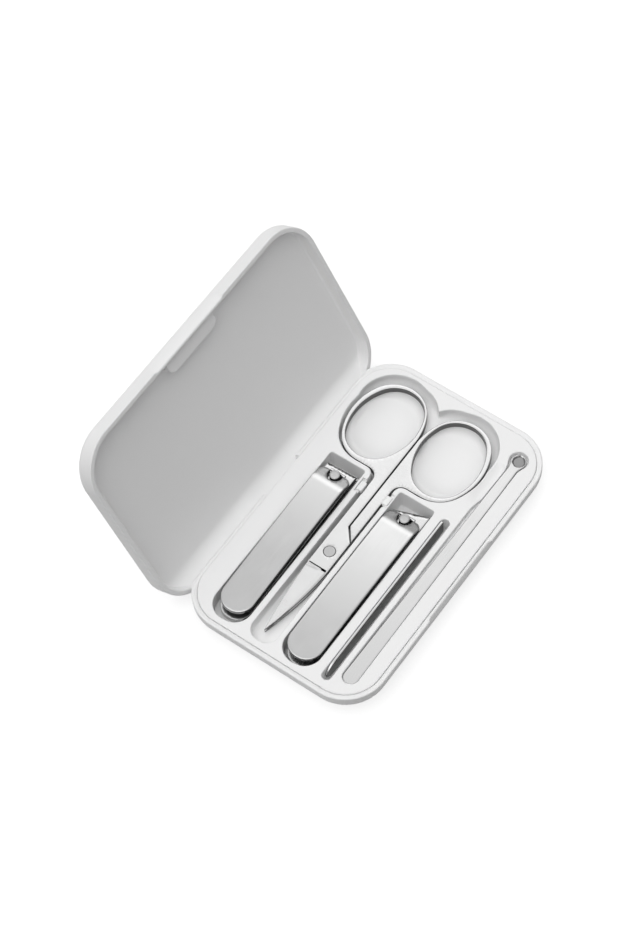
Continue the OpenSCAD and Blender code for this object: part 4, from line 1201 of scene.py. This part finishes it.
def lower_plates(s, hole, low_z, high_z):
    """The lower half: the shank with its ring, and the crossing plate of half the height."""
    seat = 1.3

    def sheet(p):
        """The shank and ring less the finger hole."""
        return np.maximum(shank_field(p), -finger_hole(p))

    def crossing(p):
        """The crossing plate less the screw's hole."""
        return np.maximum(crossing_field(p), -disc(p, 0, 0, seat))
    shank = outline(shank_field, [(7, 4.3), (12.4, 0.15)] + RING_ROUGH, 760)
    plate(s, [(shank, 0.25, 0.15), (hole, 0.36, 0.4)], level(low_z), level(high_z), sheet, 1.4, 7)
    path = outline(crossing_field, [(-8.2, -4.3), (6.7, -4.3), (12.1, 0.15), (13.1, 4.3), (-8.2, 4.3)], 260)
    edges = [(path, 0.15, 0.1), (around(0, 0, seat, 64)[::-1], 0.08, 0.08)]
    plate(s, edges, level(0.0), level(HALF_T), crossing)


def seating(n, c):
    """Picks the face that the other half's plate lies on, seen only through the joint; it gets painted shade
    so that the joint shows dark.
    """
    along = (c[:, 0] > PIVOT_X + 5) & (c[:, 0] < PIVOT_X + 14)
    return along & (c[:, 2] < RIM - SCISSORS_DEPTH + HALF_T + 0.05)


def blade_tail(n, c):
    """Picks the faces of the blade and its shoulder that look towards the tip."""
    return faces_tail(n, c) & (c[:, 0] < PIVOT_X)


def make_scissors_half(top):
    """One half: a crossing plate of half the height, a shank and ring of the full height, and a blade."""
    s = Skin()
    low_z, high_z = SEAT_PLAY, SCISSORS_H - SEAT_PLAY
    mid = HALF_T + HALF_GAP
    hole = outline(finger_hole, around(RING_X, RING_Y, 12, 60), 300)[::-1]
    if top:
        upper_plates(s, hole, low_z, high_z)
        s.take(blade(mid, high_z - mid))
    else:
        lower_plates(s, hole, low_z, high_z)
        edge = blade(0.0, HALF_T)
        edge.v[:, 1] *= -1
        s.take(edge)
        s.v[:, 1] *= -1
    s.v += np.array([PIVOT_X, SCISSORS_Y, RIM - SCISSORS_DEPTH])
    name, body = ("scissors_upper", "scissors_top") if top else ("scissors_lower", "scissors_bottom")
    o = add_piece(name, s, body, [body + "_half"], BLADE_STEEL, 40)
    # the upright sides and the seat get dark painted shade; the faces towards the tip keep the bright steel
    paint_side_shade_and_file_face(o, material=SCISSORS_SIDE_SHADE_STEEL, without=blade_tail, also=seating)


def make_screw():
    """The pivot screw: a flush head in its seat."""
    h = SCISSORS_H - 0.06
    s = Skin()
    turned(s, [(0.01, 0), (1.2, 0), (1.2, h - 0.55), (2.1, h - 0.5), (2.2, h - 0.4), (2.2, h - 0.12),
               (2.16, h - 0.04), (2.08, h), (1.95, h), (1.0, h), (0.01, h)], 0, 0)
    s.v += np.array([PIVOT_X, SCISSORS_Y, RIM - SCISSORS_DEPTH])
    add_piece("pivot_screw", s, "scissors", ["scissors_pivot_screw"], PIN_STEEL)


def make_file():
    """The file on its edge: its side view, a bar whose tail is half an ellipse.

    The side view's second coordinate is the height.
    """
    length, h, t = 72.4, 7.0, 1.0
    x0, tail_l = -56.0, 6

    def field(p):
        """The bar, and the half ellipse over the tail's length."""
        side = bar(p, x0, x0 + length, h / 2, h, 0.4, 0.4)
        end = h / 2 * (np.hypot((p[:, 0] - x0 - tail_l) / tail_l, (p[:, 1] - h / 2) / (h / 2)) - 1)
        return np.maximum(side, np.where(p[:, 0] < x0 + tail_l, end, -9))
    rough = [(x0 + tail_l, h), (x0 + 1.6, h - 1), (x0 + 0.2, h / 2), (x0 + 1.6, 1), (x0 + tail_l, 0),
             (x0 + length, 0), (x0 + length, h)]
    path = outline(field, rough, 420)
    s = Skin()
    y = FILE_Y + FILE_SLOT_W / 2 - 0.1 - t
    plate(s, [(path, 0.2, 0.2)], level(y), level(y + t), field)
    s.v = np.c_[s.v[:, 0], s.v[:, 2], RIM - FILE_DEPTH + s.v[:, 1]]
    o = add_piece("nail_file_blade", s, "file", ["nail_file"], PICK_STEEL)
    paint_side_shade_and_file_face(o, material=FILE_STEEL)


def make_pick():
    """The ear pick: a flat tapered handle, a neck, and a hollowed spoon.

    Its far end leans to the -Y side, as a shear along X. The spoon's hollow has a flat floor and
    a steep round wall, a smooth step of the distance to the spoon's middle.
    """
    x0, r, spoon = PICK_TAIL_X, 2.95, SPOON_X
    hollow_x, neck_x = spoon - 0.1, 49.5

    def lean(x):
        """How far the pick's middle line lies towards +Y."""
        return -PICK_LEAN * (x - x0) / PICK_L

    def field(p):
        """The tapered handle with its round tail, and the spoon's disc."""
        q = np.c_[p[:, 0], p[:, 1] - lean(p[:, 0])]
        handle = patch(q, [(x0 + r, -r), (43, -1.95), (spoon, -1.7), (spoon, 1.7), (43, 1.95), (x0 + r, r)])
        return join(np.minimum(handle, disc(q, x0 + r, 0, r)), disc(q, spoon, 0, 2.75), 2.4)

    def rise(p):
        """How far the spoon's end bends up: 0.03 u squared over u + 1.5, past the neck."""
        u = np.maximum(p[:, 0] - neck_x, 0)
        return 0.03 * u ** 2 / (u + 1.5)

    def high(p):
        """Height of the upper face, with the spoon's hollow."""
        d = np.hypot(p[:, 0] - hollow_x, p[:, 1] - lean(p[:, 0]))
        return 1.0 + rise(p) - 0.8 * smooth((2.42 - d) / 0.4)
    rough = [(x0, 0), (x0 + 3, -3), (45, -2.1), (50, -2.4), (52, -3.1), (55, -1.4), (55, 0.6), (52, 2.2),
             (50, 1.4), (45, 1.5), (x0 + 3, 2.9)]
    s = Skin()
    plate(s, [(outline(field, rough, 560), 0.25, 0.25)], rise, high, field, 0.35)
    s.v += np.array([0, PICK_Y, RIM - PICK_DEPTH])

    def bowl(n, c):
        """Picks the spoon's hollow, which gets the painted shade."""
        return np.hypot(c[:, 0] - hollow_x, c[:, 1] - PICK_Y - lean(c[:, 0])) < 2.3
    o = add_piece("ear_pick_handle", s, "pick", ["ear_pick"], PICK_STEEL)
    # the pick's upright sides and the spoon's hollow get the darker painted shade
    paint_side_shade_and_file_face(o, material=PICK_SHADE_STEEL, also=bowl)


make_base()
make_tray()
make_lid()
make_magnet_cover()
for kind, sizes in CLIPPERS.items():
    make_arm(kind, sizes, False)
    make_arm(kind, sizes, True)
    make_pin(kind, sizes)
    make_rivet(kind, sizes)
    make_lever(kind, sizes)
make_scissors_half(True)
make_scissors_half(False)
make_screw()
make_file()
make_pick()

# the hidden pieces keep the meshes of the CAD, and get their finish
for node, material in (("base_magnets", MAGNET), ("lid_magnets", MAGNET), ("hinge_pin", PIN_STEEL)):
    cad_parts[node].data.materials.clear()
    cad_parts[node].data.materials.append(material)


# Room, light and camera

def make_floor():
    """A plain floor that shows white to the camera and in the steel, and keeps the shadow."""
    r = 12.0
    mesh = bpy.data.meshes.new("floor")
    mesh.from_pydata([(-r, -r, 0), (r, -r, 0), (r, r, 0), (-r, r, 0)], [], [(0, 1, 2, 3)])
    o = bpy.data.objects.new("floor", mesh)
    bpy.context.scene.collection.objects.link(o)
    m = bpy.data.materials.new("floor")
    m.use_nodes = True
    tree, shader = m.node_tree, m.node_tree.nodes["Principled BSDF"]
    ray = add_node(tree, "LightPath").outputs
    shown = ray["Is Camera Ray"]
    for other in ("Is Transmission Ray", "Is Glossy Ray"):
        shown = add_node(tree, "Math", {0: shown, 1: ray[other]}, operation="MAXIMUM").outputs[0]
    for socket, lit, to_eye in (("Base Color", 0.2, 0.4), ("Emission Color", 0.0, 0.73)):
        mix = add_node(tree, "Mix", {"A": grey(lit), "B": grey(to_eye), "Factor": shown}, data_type="RGBA")
        tree.links.new(mix.outputs["Result"], shader.inputs[socket])
    for socket, value in (("Roughness", 0.9), ("Specular IOR Level", 0.0), ("Emission Strength", 1.0)):
        shader.inputs[socket].default_value = value
    mesh.materials.append(m)


def make_world():
    """A soft studio: dim low down and brighter overhead, with two soft boxes and a dim front.

    Each term is a smooth step of the height of the direction, or of its cosine to the middle of
    a soft box; the lowest band, behind the floor's edge, is white.
    """
    w = bpy.data.worlds.new("studio")
    bpy.context.scene.world = w
    w.use_nodes = True
    tree = w.node_tree
    where = add_node(tree, "TexCoord").outputs["Generated"]
    height = add_node(tree, "SeparateXYZ", {0: where}).outputs["Z"]

    def toward(*direction):
        """Cosine of the angle to a direction."""
        unit = Vector(direction).normalized()
        return add_node(tree, "VectorMath", {0: where, 1: unit}, operation="DOT_PRODUCT").outputs["Value"]
    all_round, least = 0.15, 0.04
    total = all_round
    for source, low, high, amount in [
            (height, 0.0, 0.4, 0.13), (height, 0.35, 0.8, 0.67), (height, 0.09, 0.04, 0.85),
            (toward(0.6, 0.35, 0.726), 0.93, 0.985, 1.05), (toward(-0.42, 0.05, 0.9), 0.81, 0.93, 1.0),
            (toward(0.0, -0.95, 0.3), 0.2, 0.95, -0.2)]:
        span = {"From Min": low, "From Max": high, "To Min": 0.0, "To Max": amount, "Value": source}
        term = add_node(tree, "MapRange", span, interpolation_type="SMOOTHSTEP").outputs["Result"]
        total = add_node(tree, "Math", {0: term, 1: total}, operation="ADD").outputs[0]
    light = add_node(tree, "Math", {0: total, 1: least}, operation="MAXIMUM").outputs[0]
    tree.links.new(light, tree.nodes["Background"].inputs["Strength"])
    tree.nodes["Background"].inputs["Color"].default_value = grey(1.0)


def make_camera():
    """The camera of the photograph, from a fit of the case's edges: its axes and its place."""
    cam = bpy.data.cameras.new("camera")
    cam.lens, cam.sensor_width = 106.17, 36
    cam.clip_start, cam.clip_end = 0.05, 20
    o = bpy.data.objects.new("camera", cam)
    bpy.context.scene.collection.objects.link(o)
    right, up = (0.582689, -0.810664, -0.057419), (0.717646, 0.480098, 0.504470)
    back = (-0.381389, -0.335155, 0.861518)
    m = Matrix((right, up, back)).transposed().to_4x4()
    m.translation = (-0.373235, -0.303638, 0.873860)
    o.matrix_world = m
    bpy.context.scene.camera = o


make_floor()
make_world()
make_camera()
scene = bpy.context.scene
scene.view_settings.view_transform = "Standard"
